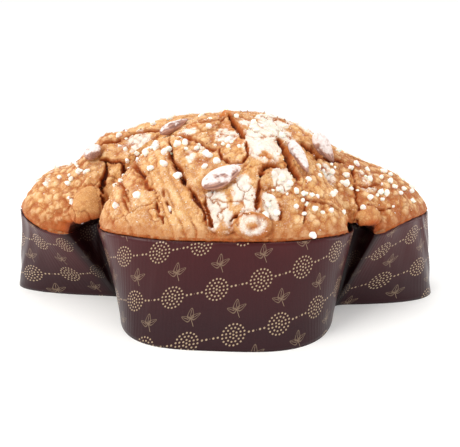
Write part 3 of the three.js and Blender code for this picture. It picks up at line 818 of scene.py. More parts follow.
cake = make_piece("colomba_crust", cake_points, [np.concatenate(faces4), np.concatenate(faces3)], {
    # The lip and the rings below it get the split colours, darkest towards the paper: painted shade.
    "split": with_low(in_split, 0.1 + 0.9 * lip_painted_shade, 0.35),
    "bare": with_low(bare, 0.0),
    "edge": with_low(np.maximum.reduce([near_split, 0.8 * almond_edge, knob_groove]), 0.6),
    "powder": with_low(powder, 0.0),
    "toast": with_low(toast, 1.1),
    "net": with_low(np.maximum(plate_edge, 0.8 * pebble_line * pebble_share), 0.4, 0.6),
    "hollow_painted_shade": with_low(hollow_painted_shade, 0.6, 0.5),
    "rim": with_low(1 - fade(1 - grid_out, 0, 0.035), 1.0),
    "lines": with_low(fade(-stretch, 0.0, 0.5), 0.0),
})
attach(cake, "root")
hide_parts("cake")

# %% [markdown]
# ## Pearl sugar
#
# Pearl sugar is pressed sugar, broken into rounded nibs, here 3.5 to 5 mm wide. They are
# spread by the same rule and the same draws as in the model: a random place counts if it is
# clear of the other nibs, the almonds and the splits. A second list adds nibs where they lie
# thickest. Each nib is a lumpy ball. Smaller broken bits lie between them.

# %% Nibs
NIBS = dict(count=84, smallest=1.7, largest=2.6, up=0.3, seed=53,
            apart=11, from_almond=17, from_split=4.2, edge=0.955)


def plan_distance(x, y, route):
    p = np.array(route, float)
    run = p[1:] - p[:-1]
    part = np.clip(((x - p[:-1, 0]) * run[:, 0] + (y - p[:-1, 1]) * run[:, 1]) / (run ** 2).sum(1), 0, 1)
    return np.hypot(x - p[:-1, 0] - run[:, 0] * part, y - p[:-1, 1] - run[:, 1] * part).min()


def nib_places(draw):
    found = []
    while len(found) < NIBS["count"]:
        x = (draw() * 2 - 1) * RIM_OUTLINE["head"]
        y = (draw() * 2 - 1) * RIM_OUTLINE["wing"]
        inside = math.hypot(x, y) < NIBS["edge"] * float(reach(np.array(math.atan2(y, x)), RIM_OUTLINE))
        clear = (all(math.hypot(a - x, b - y) > NIBS["apart"] for a, b in found)
                 and all(math.hypot(a[0] - x, a[1] - y) > NIBS["from_almond"] for a in ALMONDS)
                 and all(plan_distance(x, y, s[2]) > NIBS["from_split"] for s in all_splits))
        if inside and clear:
            found.append((x, y))
    return found


def ball(subdivisions):
    """Points and triangles of a unit icosphere."""
    bm = bmesh.new()
    bmesh.ops.create_icosphere(bm, subdivisions=subdivisions, radius=1)
    points = np.array([v.co for v in bm.verts])
    faces = np.array([[v.index for v in f.verts] for f in bm.faces])
    bm.free()
    return points, faces


def turned_at_random(draw):
    """A rotation matrix from three draws."""
    a, b, c = (draw() * 2 * math.pi for _ in range(3))
    about_z = np.array([[math.cos(a), -math.sin(a), 0], [math.sin(a), math.cos(a), 0], [0, 0, 1]])
    about_x = np.array([[1, 0, 0], [0, math.cos(b), -math.sin(b)], [0, math.sin(b), math.cos(b)]])
    again_z = np.array([[math.cos(c), -math.sin(c), 0], [math.sin(c), math.cos(c), 0], [0, 0, 1]])
    return about_z @ about_x @ again_z


def scatter(name, spots, subdivisions, sizes, lumpiness, draw, up=0.25, squash=(1, 0.85, 0.75)):
    """Lumpy grains at spots on the crust, joined to one mesh."""
    sphere, faces = ball(subdivisions)
    points, all_faces = [], []
    for k, (x, y) in enumerate(spots):
        radius = sizes[0] + (sizes[1] - sizes[0]) * draw()
        broad = lumpiness * noise(sphere * 1.3 + 10 * k, 1, 7)
        small = 0.5 * lumpiness * noise(sphere * 3 + 7 * k, 1, 8)
        lumps = 1 + broad + small
        grain = (sphere * lumps[:, None] * radius * squash) @ turned_at_random(draw).T
        spot = grid_top(x, y) + dome_normal(np.array(x), np.array(y)) * radius * up
        points.append(grain + spot)
        all_faces.append(faces + k * len(sphere))
    return make_piece(name, np.concatenate(points), [np.concatenate(all_faces)])


def grid_top(x, y):
    """The point of the finished crust nearest to a place in the plan."""
    d = (crust_points[:, 0] - x) ** 2 + (crust_points[:, 1] - y) ** 2
    return crust_points[int(np.argmin(d))]


MORE_NIBS = [(-93, -49), (-100, -45), (-98, -37), (-103, -38), (-123, -34), (-42, -68), (-24, -76),
             (-65, -37), (-59, -34), (-48, -51), (-45, -47), (-43, -44), (-35, -60), (-32, -57),
             (-27, -56), (-23, -56), (-15, -59), (-7, -65), (-2, -70), (-9, -72), (36, -74), (40, -75),
             (44, -78), (48, -77), (56, -74), (66, -64), (54, -82), (64, -77), (53, -91), (69, -43),
             (52, -68), (60, -44), (78, -42), (79, -37), (83, -30), (88, -23), (88, -51), (93, -45),
             (101, -38), (105, -37), (113, -27), (116, -31), (120, -23), (127, -19), (114, -12),
             (28, -87), (26, -91), (32, -89), (30, -83)]
draw_nib = drawer(NIBS["seed"])
nib_spots = nib_places(draw_nib) + MORE_NIBS + [(-x, -y) for x, y in MORE_NIBS[::2]]
nibs = scatter("sugar_nibs", nib_spots, 3, (NIBS["smallest"], NIBS["largest"]), 0.28, draw_nib, NIBS["up"])
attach(nibs, "root")

# %% Broken bits of sugar, powder grains and crumbs
CLUSTERS = [((-30, -50), 9), ((-20, -56), 8), ((-58, -42), 10), ((36, -78), 9), ((30, -66), 8),
            ((66, -52), 10), ((74, -44), 8), ((92, -40), 9), ((104, -34), 9), ((2, -62), 9),
            ((22, -40), 12), ((-70, -26), 10), ((-100, -38), 10), ((50, -82), 9), ((-40, 56), 12),
            ((20, 70), 12), ((84, 36), 12), ((-96, 30), 14), ((120, 0), 12), ((0, 20), 16)]
BITS, GRAINS, CRUMBS = 110, 4200, 1500
draw_bit = drawer(77)


def gathered_spots(count, groups, draw, spread=1.0):
    spots = []
    while len(spots) < count:
        (x, y), radius = groups[int(draw() * len(groups))]
        turn_by, far = draw() * 2 * math.pi, radius * spread * math.sqrt(draw())
        x, y = x + far * math.cos(turn_by), y + far * math.sin(turn_by)
        if math.hypot(x, y) < 0.95 * float(reach(np.array(math.atan2(y, x)), RIM_OUTLINE)):
            spots.append((x, y))
    return spots


bits = scatter("sugar_bits", gathered_spots(BITS, CLUSTERS, draw_bit), 2, (1.0, 1.9), 0.3, draw_bit)
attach(bits, "root")


def spots_by_weight(weight, count, seed):
    """Crust points drawn so that a point of twice the weight is twice as likely."""
    total = np.cumsum(weight)
    draw = drawer(seed)
    return [int(np.searchsorted(total, draw() * total[-1])) for _ in range(count)]


def dust(name, picks, radii, seed, sink):
    """Tiny eight-sided grains on chosen points of the crust."""
    grain_corners = np.array([(1, 0, 0), (-1, 0, 0), (0, 1, 0), (0, -1, 0), (0, 0, 1), (0, 0, -1)], float)
    sides = np.array([(0, 2, 4), (2, 1, 4), (1, 3, 4), (3, 0, 4), (2, 0, 5), (1, 2, 5), (3, 1, 5), (0, 3, 5)])
    draw = drawer(seed)
    points, faces = [], []
    for k, i in enumerate(picks):
        radius = radii[0] + (radii[1] - radii[0]) * draw() ** 2
        grain = grain_corners * radius * (1, 0.8, 0.7) @ turned_at_random(draw).T
        points.append(grain + crust_points[i] + crust_normals[i] * radius * (1 - sink))
        faces.append(sides + 6 * k)
    return make_piece(name, np.concatenate(points), [np.concatenate(faces)])


spacing = np.concatenate([np.full(len(a), (out + 0.01) * RIM_POINTS / len(a))
                          for a, out in zip(ring_angles, ring_outs)])
crumb_weight = spacing * np.clip(near_split + 0.15 * plate_edge, 0, 1) ** 2
grains = dust("powder_grains", spots_by_weight(spacing * powder ** 2, GRAINS, 101), (0.22, 0.6), 103, 0.4)
crumbs = dust("crust_crumbs", spots_by_weight(crumb_weight, CRUMBS, 105), (0.3, 0.85), 107, 0.4)
for piece in (grains, crumbs):
    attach(piece, "root")

# %% [markdown]
# ## Whole almonds
#
# An almond in its skin is a flat drop with fine grooves from end to end. We take a ball of
# rings and sides, squeeze it to a drop, and press grooves in that run with its length.
# Powder settled on whatever faced up.

# %% Almond meshes
ALMOND_SIDES = 72
ALMOND_RINGS = 48
ALMOND_TAPER = 0.24
ALMOND_BELLY = 0.1


def almond_mesh(name, number, size, turn_in, middle, dusting):
    polar = np.linspace(0, np.pi, ALMOND_RINGS + 1)[1:-1]
    around = np.arange(ALMOND_SIDES) * 2 * np.pi / ALMOND_SIDES
    polar, around = (g.ravel() for g in np.meshgrid(polar, around, indexing="ij"))
    x = np.append(np.cos(polar), [1, -1])
    girth = np.append(np.sin(polar), [0, 0])
    around = np.append(around, [0, 0])
    tip = 0.13 * fade(x, 0.55, 1.0) * (1 - girth)
    taper = 1 - ALMOND_TAPER * x - ALMOND_BELLY * x ** 2
    body = np.stack([x + tip, girth * taper * np.cos(around), girth * taper * np.sin(around)], -1)
    spin = np.stack([np.cos(around), np.sin(around), x * 0.22], -1)
    grooves = np.abs(rough(spin * 4.5 + number * 9, 1, 15 + number, 3))
    dents = rough(body * 2 + number * 5, 1, 35 + number, 2)
    half = np.array(size) / 2
    shell = body * (half - 0.15)
    out = shell / np.linalg.norm(shell / half ** 2, axis=1, keepdims=True) / half ** 2
    shell = shell + out * (0.2 * dents - 0.3 * grooves)[:, None] * np.clip(girth * 3, 0, 1)[:, None]
    ids = np.arange(len(polar)).reshape(-1, ALMOND_SIDES)
    quads = np.concatenate([band(ids[k + 1], ids[k]) for k in range(len(ids) - 1)])
    caps = np.concatenate([fan(ids[0], len(polar), True), fan(ids[-1], len(polar) + 1, False)])
    placed = shell @ turn_in.T + middle
    up = (out @ turn_in.T)[:, 2]
    cover = fade(0.9 * up + 0.55 * rough(placed, 3.2, 55 + number, 3) + 1.5 * dusting - 1.05, -0.05, 0.55)
    return make_piece(name, placed, [quads, caps], {"groove": grooves, "powder": cover})


almonds = []
for k, ((*_, size, _, dusting), (turn_in, middle)) in enumerate(zip(ALMONDS, almond_frames)):
    almond = almond_mesh(f"whole_almond_{k + 1}", k, size, turn_in, middle, dusting)
    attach(almond, "root")
    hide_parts(f"almond_{k + 1}")
    almonds.append(almond)

# %% [markdown]
# ## The paper case
#
# The case is a strip of stiff, finely fluted paper, folded in at the foot and glued to a
# floor of the same outline. It leans out along the lobes' sides and a little in at their
# ends, and there the strip buckles into slanting creases. We lay the strip out as a grid:
# along it the length on the rim, up it the height. The print uses the same two numbers.

# %% Strip, rim and floor
STRIP_POINTS = 1728
STRIP_LEVELS = 26
FLUTE = 2.3
CREASE_SETS = [(180, 30, 8, 0.55, 0.5), (0, 30, 7, 0.55, -0.45),
               (268, 26, 5, 0.25, 0.2), (90, 26, 5, 0.25, -0.2)]
CREASE_APART = 9.5
PRESS_BACK = 0.25
FOLD_SHIFT = math.radians(1.2)

strip_angles = even_angles(STRIP_POINTS)
strip_at = np.arange(STRIP_POINTS) * RIM_LENGTH / STRIP_POINTS
outer_floor = level(inset_point(strip_angles, FLOOR_OUTLINE, 0.0), 0.0)
outer_rim = level(inset_point(strip_angles, RIM_OUTLINE, 0.0), rim_height(strip_angles))
strip_inward = inset_point(strip_angles, RIM_OUTLINE, 1.0) - inset_point(strip_angles, RIM_OUTLINE, 0.0)
outward = np.concatenate([-strip_inward, np.zeros((STRIP_POINTS, 1))], 1)


def on_loop(values, wide, seed):
    """Noise along the strip that closes on itself."""
    turned = 2 * np.pi * values / RIM_LENGTH
    circle = np.stack([np.cos(turned), np.sin(turned), np.zeros_like(turned)], -1)
    return noise(circle * RIM_LENGTH / (2 * np.pi), wide, seed)


def strip_press(share):
    """How far the strip stands out or in at one level, in millimetres."""
    height = share * STRIP
    flute = np.cos(2 * np.pi * np.round(RIM_LENGTH / FLUTE) * strip_at / RIM_LENGTH)
    press = 0.05 * flute * (0.5 + 0.5 * on_loop(strip_at, 14, 3)) + 0.05 * on_loop(strip_at, 3.2, 5)
    press = press + 0.3 * on_loop(strip_at, 26, 6) * math.sin(np.pi * share)
    degrees = np.degrees(strip_angles)
    for middle, spread, seed, deep, slant in CREASE_SETS:
        away = (degrees - middle + 180) % 360 - 180
        weight = np.exp(-(away / spread) ** 4)
        phase = (strip_at - slant * height) / CREASE_APART
        line = noise(np.stack([phase, np.full_like(phase, middle), np.zeros_like(phase)], -1), 1, seed)
        press = press + deep * (0.6 - np.abs(line) * 2) * weight * fade(np.full_like(away, share), 0, 0.3)
    return press - PRESS_BACK


rows = []
rim_ripple = 0.35 * on_loop(strip_at, 19, 8) + 0.15 * on_loop(strip_at, 6, 9)
for k in range(STRIP_LEVELS + 1):
    share = k / STRIP_LEVELS
    row = outer_floor + (outer_rim - outer_floor) * share
    row = row + outward * (strip_press(share) * fade(np.array(share), 0, 0.08))[:, None]
    row[:, 2] += rim_ripple * share ** 6
    rows.append(row)
sheet = PAPER * 0.75
top_row = rows[-1]
inner_top = top_row - outward * sheet
inner_low = level(inset_point(strip_angles, FLOOR_OUTLINE, PAPER), PAPER)
inner_drop = inner_low - inner_top
inner_rows = [inner_top, inner_top + inner_drop * 0.12, inner_top + inner_drop * 0.5, inner_low]
case_points = np.concatenate(rows + inner_rows + [np.array([(0, 0, 0), (0, 0, PAPER)])])
ids = np.arange(STRIP_POINTS)
ring_total = len(rows) + len(inner_rows)
quads = np.concatenate([band(ids + k * STRIP_POINTS, ids + (k + 1) * STRIP_POINTS)
                        for k in range(ring_total - 1)])
tris = np.concatenate([fan(ids, len(case_points) - 2, False),
                       fan(ids + (ring_total - 1) * STRIP_POINTS, len(case_points) - 1, True)])
print("strip: points along", STRIP_POINTS, "levels", STRIP_LEVELS)

# %% [markdown]
# The seam of the strip must not smear the print: the last column of faces runs from the end
# of the strip back to its start, so its corners get the full length, not zero. That is why
# the map is written for each corner of a face and not for each point.

# %% Case mesh with its strip map
# Painted shade: in the four folds the paper colour is painted near black, on top of the shade the deep fold
# gets.
fold_side = np.sign(np.cos(strip_angles) * np.sin(strip_angles))
fold = corner_share(strip_angles + FOLD_SHIFT * fold_side, FOLD_WIDTH * 1.6, 6)
fold_painted_shade = np.concatenate([np.tile(fold, len(rows) + len(inner_rows)), [0, 0]])
case = make_piece("printed_case", case_points, [quads, tris], {"fold": fold_painted_shade})
strip_map = case.data.uv_layers.new(name="strip")
corner_point = np.empty(len(case.data.loops), np.int32)
case.data.loops.foreach_get("vertex_index", corner_point)
column = corner_point % STRIP_POINTS
row_of = np.minimum(corner_point // STRIP_POINTS, STRIP_LEVELS)
inside = corner_point // STRIP_POINTS > STRIP_LEVELS
wraps = np.zeros(len(corner_point), bool)
starts = np.arange(len(quads)) * 4
last_column = column[starts] == STRIP_POINTS - 1
for offset in range(4):
    corner_ids = starts[last_column] + offset
    wraps[corner_ids] = column[corner_ids] == 0
u = (column + STRIP_POINTS * wraps) * RIM_LENGTH / STRIP_POINTS
v = np.where(inside, -STRIP, row_of * STRIP / STRIP_LEVELS)
strip_map.data.foreach_set("uv", np.stack([u * MM * 10, v * MM * 10], -1).astype(np.float32).ravel())
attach(case, "root")
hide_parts("paper_case")

# %% [markdown]
# ## Writing materials as formulas
#
# Blender's materials are graphs of nodes. Our patterns are formulas, so we give sockets the
# usual operators: adding two of them makes an Add node. That keeps each material short
# enough to read.

# %% Sockets that can be added and multiplied
class Socket:
    def __init__(self, tree, source):
        self.tree, self.source = tree, source

    def math(self, operation, *others, clamp=False):
        node = self.tree.nodes.new("ShaderNodeMath")
        node.operation, node.use_clamp = operation, clamp
        for slot, value in zip(node.inputs, (self, *others)):
            if isinstance(value, Socket):
                self.tree.links.new(value.source, slot)
            else:
                slot.default_value = value
        return Socket(self.tree, node.outputs[0])

    def __add__(self, other):
        return self.math("ADD", other)

    def __radd__(self, other):
        return self.math("ADD", other)

    def __sub__(self, other):
        return self.math("SUBTRACT", other)

    def __rsub__(self, other):
        return self.math("MULTIPLY", -1).math("ADD", other)

    def __mul__(self, other):
        return self.math("MULTIPLY", other)

    def __rmul__(self, other):
        return self.math("MULTIPLY", other)

    def __truediv__(self, other):
        return self.math("DIVIDE", other)

    def __abs__(self):
        return self.math("ABSOLUTE")

    def clamped(self):
        return self.math("ADD", 0, clamp=True)

    def most(self, other):
        return self.math("MAXIMUM", other)

    def ramp(self, low, high):
        """0 below low, 1 above high, straight between."""
        return ((self - low) / (high - low)).clamped()


def hypot(a, b):
    return (a * a + b * b).math("SQRT")


def cyclic(value, period):
    """value, wrapped to the middle of its period, from -period/2 to period/2."""
    return value - value.math("SNAP", period) - period / 2


def srgb(red, green, blue):
    """A screen colour from 0 to 255, as the linear colour that materials use."""
    def one(c):
        c /= 255
        return c / 12.92 if c <= 0.04045 else ((c + 0.055) / 1.055) ** 2.4
    return (one(red), one(green), one(blue), 1.0)


class Finish:
    """A new material with its shader, and short ways to add nodes to it."""

    def __init__(self, name):
        self.material = bpy.data.materials.new(name)
        self.material.use_nodes = True
        self.tree = self.material.node_tree
        self.shader = self.tree.nodes["Principled BSDF"]

    def attribute(self, name):
        node = self.tree.nodes.new("ShaderNodeAttribute")
        node.attribute_name = name
        return Socket(self.tree, node.outputs["Fac"])

    def place(self):
        return self.tree.nodes.new("ShaderNodeTexCoord").outputs["Object"]

    def grain(self, size_mm, detail=3.0, seed=0.0):
        node = self.tree.nodes.new("ShaderNodeTexNoise")
        node.noise_dimensions = "4D"
        node.inputs["W"].default_value = seed
        node.inputs["Scale"].default_value = 1 / (size_mm * MM)
        node.inputs["Detail"].default_value = detail
        self.tree.links.new(self.place(), node.inputs["Vector"])
        return Socket(self.tree, node.outputs["Fac"])

    def blend(self, share, low, high):
        """A colour between low and high, which are colours or sockets."""
        node = self.tree.nodes.new("ShaderNodeMix")
        node.data_type = "RGBA"
        self.tree.links.new(share.source, node.inputs["Factor"])
        for slot, value in ((node.inputs[6], low), (node.inputs[7], high)):
            if isinstance(value, Socket):
                self.tree.links.new(value.source, slot)
            else:
                slot.default_value = value
        return Socket(self.tree, node.outputs[2])

    def feed(self, name, socket):
        self.tree.links.new(socket.source, self.shader.inputs[name])

    def set(self, **values):
        for name, value in values.items():
            self.shader.inputs[name.replace("_", " ")].default_value = value

    def bump(self, height, distance_mm, strength=1.0):
        node = self.tree.nodes.new("ShaderNodeBump")
        node.inputs["Distance"].default_value = distance_mm * MM
        node.inputs["Strength"].default_value = strength
        self.tree.links.new(height.source, node.inputs["Height"])
        self.tree.links.new(node.outputs["Normal"], self.shader.inputs["Normal"])


# %% [markdown]
# ## The baked glaze
#
# The glaze is ground almond and egg white: sand-coloured on the flats, amber at the edges of
# the plates and dark brown down in the splits, partly its own colour and partly painted shade,
# with painted near-black shade deepest in the splits, in the notches and under the lip. The pebble
# tops are painted paler and their hollows darker, a painted highlight and a painted shade. The
# attributes say where, and fine noise breaks every border up. Powder comes last and covers what
# it lies on.

# %% Crust material
glaze = Finish("baked_glaze")
fine = glaze.grain(0.9, 4, 1.0)
middling = glaze.grain(4, 4, 2.0)
split, edge, net, painted_pebble_light = (glaze.attribute(key) for key in ("split", "edge", "net", "hollow_painted_shade"))
toasted = (glaze.attribute("toast") + (middling - 0.5) * 1.2).ramp(0.2, 1.5)
base = glaze.blend(toasted, srgb(220, 162, 96), srgb(168, 99, 47))
# Painted highlight on the pebble tops, then painted shade in the hollows between them.
base = glaze.blend(((0.5 - painted_pebble_light) * 2.2 + (fine - 0.5)).clamped() * 0.85, base, srgb(246, 208, 156))
base = glaze.blend((painted_pebble_light + (fine - 0.5) * 0.6).ramp(0.48, 0.95) * 0.85, base, srgb(168, 88, 34))
speck = glaze.grain(0.7, 2, 7.0)
base = glaze.blend(speck.ramp(0.54, 0.72) * 0.45, base, srgb(180, 98, 42))
base = glaze.blend((1 - speck).ramp(0.56, 0.76) * 0.5, base, srgb(252, 224, 180))
lined = (net * 0.8 + glaze.attribute("lines") * 0.7 + (fine - 0.5)).ramp(0.2, 0.9) * 0.85
base = glaze.blend(lined, base, srgb(170, 84, 32))
base = glaze.blend((edge * 0.9 + (middling - 0.5)).ramp(0.35, 1.1) * 0.7, base, srgb(188, 98, 38))
torn = (glaze.attribute("bare") + (fine - 0.5) * 0.8).ramp(0.3, 0.9) * 0.7
base = glaze.blend(torn, base, srgb(204, 116, 46))
base = glaze.blend((glaze.attribute("rim") * 0.9 + (fine - 0.5)).clamped() * 0.6, base, srgb(160, 80, 32))
# The split colours: amber and dark brown are partly the dough's own colour and partly painted shade. The
# near-black of the last step is painted shade.
base = glaze.blend((split + (fine - 0.5) * 0.5).ramp(0.15, 0.6), base, srgb(182, 88, 30))
base = glaze.blend((split + (fine - 0.5) * 0.3).ramp(0.6, 1.0), base, srgb(116, 46, 16))
base = glaze.blend((split + (fine - 0.5) * 0.3).ramp(0.85, 1.25), base, srgb(50, 16, 8))
powder_share = (glaze.attribute("powder") * 1.1 + (fine - 0.5) * 1.1 + (middling - 0.5) * 0.5).ramp(0.25, 0.9)
in_the_open = (1 - split.ramp(0.1, 0.45)) * (1 - net * 0.6) * (1 - edge * 0.5)
base = glaze.blend(powder_share * in_the_open * 0.9, base, srgb(252, 245, 235))
glaze.feed("Base Color", base)
glaze.set(Roughness=0.65, Specular_IOR_Level=0.3)
glaze.bump(fine + speck * 0.8, 0.5, 1.0)
cake.data.materials.append(glaze.material)

# %% [markdown]
# ## Sugar, crumbs and almond skin
#
# Sugar is white with a little light inside it, so it gets some subsurface scattering. Crumbs
# are bits of crust. Almond skin is dry and brown, darker in its grooves, with powder over it.

# %% Small finishes
sugar = Finish("pearl_sugar")
sugar.feed("Base Color", sugar.blend(sugar.grain(1.6, 2), srgb(255, 253, 248), srgb(244, 234, 216)))
sugar.set(Roughness=0.55, Subsurface_Weight=0.25, Subsurface_Scale=0.002)
sugar.bump(sugar.grain(0.8, 3, 4.0), 0.3)
for piece in (nibs, bits, grains):
    piece.data.materials.append(sugar.material)

crumb = Finish("crust_crumb")
crumb.feed("Base Color", crumb.blend(crumb.grain(3, 2), srgb(206, 140, 86), srgb(150, 84, 42)))
crumb.set(Roughness=0.8)
crumb.bump(crumb.grain(0.4, 2), 0.2)
crumbs.data.materials.append(crumb.material)

skin = Finish("almond_skin")
skin_grain = skin.grain(1.3, 4, 2.0)
skin_base = skin.blend((skin.attribute("groove") * 1.5 + (skin.grain(2.2) - 0.5)).ramp(0.1, 1.0),
                       srgb(186, 132, 108), srgb(122, 72, 56))
skin_base = skin.blend((skin.attribute("powder") * 0.6 + skin_grain * 0.35).ramp(0.05, 0.8) * 0.6,
                       skin_base, srgb(226, 200, 190))
skin_cover = (skin.attribute("powder") + (skin_grain - 0.5) * 1.4).ramp(0.35, 1.15)
skin.feed("Base Color", skin.blend(skin_cover * 0.85, skin_base, srgb(250, 243, 240)))
skin.set(Roughness=0.55, Specular_IOR_Level=0.35)
skin.bump(skin.grain(0.7, 3, 5.0), 0.25)
for almond in almonds:
    almond.data.materials.append(skin.material)
print("materials so far:", len(bpy.data.materials))

# %% [markdown]
# ## Print on the paper
#
# The paper is dark, brown with a breath of plum, and has a satin finish. Its print is a
# repeat in pale gold ink: dotted rosettes joined by strings of dots, in slanting rows, with
# a sprig of leaves between the rows. Each motif is a distance formula on the strip's map, so
# the ink stays sharp however near we look.

# %% Ink patterns
SLANT = math.radians(14)
ROW = 26.0
PITCH = 23.0
ROW_SHIFT = PITCH * 0.37
DOT = 0.56
STRING_STEP = 2.2
ROSETTE_RINGS = [(1.8, 6), (3.7, 12), (5.6, 18)]
INK_SOFT = 0.16


def ink_dot(away, radius=DOT):
    """1 inside a printed dot, 0 outside, with a soft border."""
    return ((radius - away) / INK_SOFT).clamped()


def dot_ring(x, y, radius, count):
    """Ink of a ring of dots round the middle of a cell."""
    angle = y.math("ARCTAN2", x)
    step_angle = 2 * math.pi / count
    along = cyclic(angle + math.pi, step_angle) * radius
    return ink_dot(hypot(along, hypot(x, y) - radius))


def leaf(x, y, at_x, at_y, turn_deg, long, wide):
    """Ink of a leaf drawn in outline, with its vein."""
    c, s = math.cos(math.radians(turn_deg)), math.sin(math.radians(turn_deg))
    lx = (x - at_x) * c + (y - at_y) * s
    ly = (y - at_y) * c - (x - at_x) * s
    oval = hypot(lx / long, ly / wide * (1 + lx * (0.5 / long)))
    outline = ((0.2 - abs(oval - 1)) * (0.35 / INK_SOFT)).clamped()
    vein = ((0.14 - abs(ly)) / INK_SOFT).clamped() * ((long * 0.7 - abs(lx)) / INK_SOFT).clamped()
    return outline.most(vein)


paper = Finish("printed_paper")
strip_uv = paper.tree.nodes.new("ShaderNodeUVMap")
strip_uv.uv_map = "strip"
split_uv = paper.tree.nodes.new("ShaderNodeSeparateXYZ")
paper.tree.links.new(strip_uv.outputs["UV"], split_uv.inputs[0])
strip_u = Socket(paper.tree, split_uv.outputs[0]) * 100
strip_v = Socket(paper.tree, split_uv.outputs[1]) * 100
turns = round(RIM_LENGTH / PITCH)
slope = round(RIM_LENGTH * math.tan(SLANT) / ROW) * ROW / RIM_LENGTH
row_height = strip_v - strip_u * slope + 8
row_number = (row_height / ROW).math("FLOOR")
cell_y = cyclic(row_height, ROW)
cell_x = cyclic(strip_u + row_number * ROW_SHIFT + 500, RIM_LENGTH / turns)
rosette = ink_dot(hypot(cell_x, cell_y))
for radius, count in ROSETTE_RINGS:
    rosette = rosette.most(dot_ring(cell_x, cell_y, radius, count))
string_x = cyclic(cell_x + 100 * STRING_STEP, STRING_STEP)
string = ink_dot(hypot(string_x, cell_y), 0.62) * (abs(cell_x) - 6.6).clamped()
sprig_y = cyclic(row_height + ROW / 2, ROW)
sprig_row = (row_height / ROW + 0.5).math("FLOOR")
sprig_x = cyclic(strip_u + sprig_row * ROW_SHIFT + 513, RIM_LENGTH / turns)
sprig = leaf(sprig_x, sprig_y, 0, 2.8, 80, 2.6, 1.3)
sprig = sprig.most(leaf(sprig_x, sprig_y, -2.6, 0.4, 150, 2.3, 1.1))
sprig = sprig.most(leaf(sprig_x, sprig_y, 2.6, 0.9, 25, 2.3, 1.1))
stem = ((0.16 - abs(sprig_x + 0.3 * sprig_y)) / INK_SOFT).clamped()
stem = stem * ((2.6 - abs(sprig_y + 2.0)) / INK_SOFT).clamped()
ink = rosette.most(string).most(sprig.most(stem)) * (strip_v + 1).clamped()
print("rosettes in a row round the strip:", turns)

# %% Paper material
# Painted light: the paper is painted lighter and redder towards the rim, in broad patches, as a glow.
painted_glow_noise = paper.grain(46, 2, 6.0)
painted_rim_glow = (strip_v / STRIP).ramp(0.2, 1.0) * (painted_glow_noise * 1.6).clamped()
tone = paper.blend(painted_rim_glow, srgb(43, 11, 18), srgb(74, 23, 25))
fibre = paper.grain(0.8, 3, 7.0)
tone = paper.blend((fibre - 0.35).clamped() * 0.2, tone, srgb(84, 46, 46))
tone = paper.blend(ink * (0.62 + fibre * 0.3), tone, srgb(196, 170, 138))
# Painted shade: inside the folds the paper goes near black.
paper.feed("Base Color", paper.blend(paper.attribute("fold") * 0.85, tone, srgb(14, 3, 4)))
paper.set(Roughness=0.32, Specular_IOR_Level=0.2, Coat_Weight=0.08, Coat_Roughness=0.2)
paper.bump(fibre, 0.06)
case.data.materials.append(paper.material)

# %% [markdown]
# ## Floor, light and camera
#
# The cake stands on a plain white table in a bright room with soft boxes: a small one at the
# front left, a big one overhead, and a narrow strip on either side that draws a pale sheen on
# the ends of the case. The camera stands a little above the crown and looks slightly down.

# %% Floor
floor_points = np.array([(-800, -800, 0), (800, -800, 0), (800, 800, 0), (-800, 800, 0)], float)
floor = make_piece("table", floor_points, [np.array([[0, 1, 2, 3]])], smooth=False)
table = Finish("white_table")
table.feed("Base Color", table.blend(table.grain(300, 1), srgb(250, 249, 247), srgb(246, 245, 243)))
table.set(Roughness=0.7, Specular_IOR_Level=0.2, Emission_Color=(1, 1, 1, 1), Emission_Strength=0.12)
floor.data.materials.append(table.material)

# %% Lights
def soft_box(name, place, aim, size, power, color=(1, 1, 1)):
    lamp = bpy.data.lights.new(name, "AREA")
    lamp.shape, lamp.size, lamp.size_y = "RECTANGLE", size[0], size[1]
    lamp.energy, lamp.color = power, color
    stand = bpy.data.objects.new(name, lamp)
    stand.location = place
    stand.rotation_euler = (Vector(aim) - Vector(place)).to_track_quat("-Z", "Y").to_euler()
    bpy.context.scene.collection.objects.link(stand)


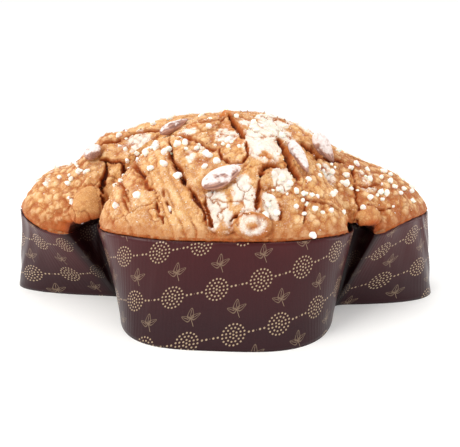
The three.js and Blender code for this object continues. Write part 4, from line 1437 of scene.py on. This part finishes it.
soft_box("key_box", (-0.62, -0.6, 0.75), (0, 0, 0.08), (0.5, 0.5), 5.0, (1.0, 0.985, 0.95))
soft_box("top_box", (0.0, 0.3, 1.6), (0, 0, 0), (2.6, 2.6), 28.0)
soft_box("right_strip", (0.9, 0.0, 0.3), (0, 0, 0.05), (0.15, 0.5), 1.2)
soft_box("left_strip", (-0.9, 0.1, 0.3), (0, 0, 0.05), (0.12, 0.4), 1.0)
print("soft boxes:", len(bpy.data.lights))

# %% [markdown]
# The room is white near the horizon and dimmer overhead, so that the background stays white
# while the crust keeps its shadows.

# %% Room
world = bpy.data.worlds.new("bright_room")
world.use_nodes = True
room = world.node_tree
sky_place = room.nodes.new("ShaderNodeTexCoord")
sky_axes = room.nodes.new("ShaderNodeSeparateXYZ")
room.links.new(sky_place.outputs["Generated"], sky_axes.inputs[0])
sky = Socket(room, sky_axes.outputs[2]).ramp(0.3, 0.7)
brightness = 1.02 - sky * 0.65
room.links.new(brightness.source, room.nodes["Background"].inputs["Strength"])
room.nodes["Background"].inputs["Color"].default_value = (1, 1, 1, 1)
bpy.context.scene.world = world

# %% Camera
IMAGE_WIDTH, IMAGE_HEIGHT = 460, 447
FOCAL_PIXELS = 467
AXIS_X, AXIS_Y = 228.1, 170.5
CAMERA_AWAY, CAMERA_HIGH = 342, 131
LOOK_DOWN = math.radians(7.9)
CAMERA_ROUND = math.radians(3.8)

lens = bpy.data.cameras.new("photo_camera")
lens.sensor_width = 36
lens.lens = 36 * FOCAL_PIXELS / IMAGE_WIDTH
lens.shift_x = (IMAGE_WIDTH / 2 - AXIS_X) / IMAGE_WIDTH
lens.shift_y = (AXIS_Y - IMAGE_HEIGHT / 2) / IMAGE_WIDTH
lens.clip_start = 0.01
camera = bpy.data.objects.new("photo_camera", lens)
camera.location = (CAMERA_AWAY * MM * math.sin(CAMERA_ROUND), -CAMERA_AWAY * MM * math.cos(CAMERA_ROUND),
                   CAMERA_HIGH * MM)
camera.rotation_euler = (math.pi / 2 - LOOK_DOWN, 0, CAMERA_ROUND)
bpy.context.scene.collection.objects.link(camera)
bpy.context.scene.camera = camera
bpy.context.scene.view_settings.view_transform = "Standard"
print("lens, mm:", round(lens.lens, 1))
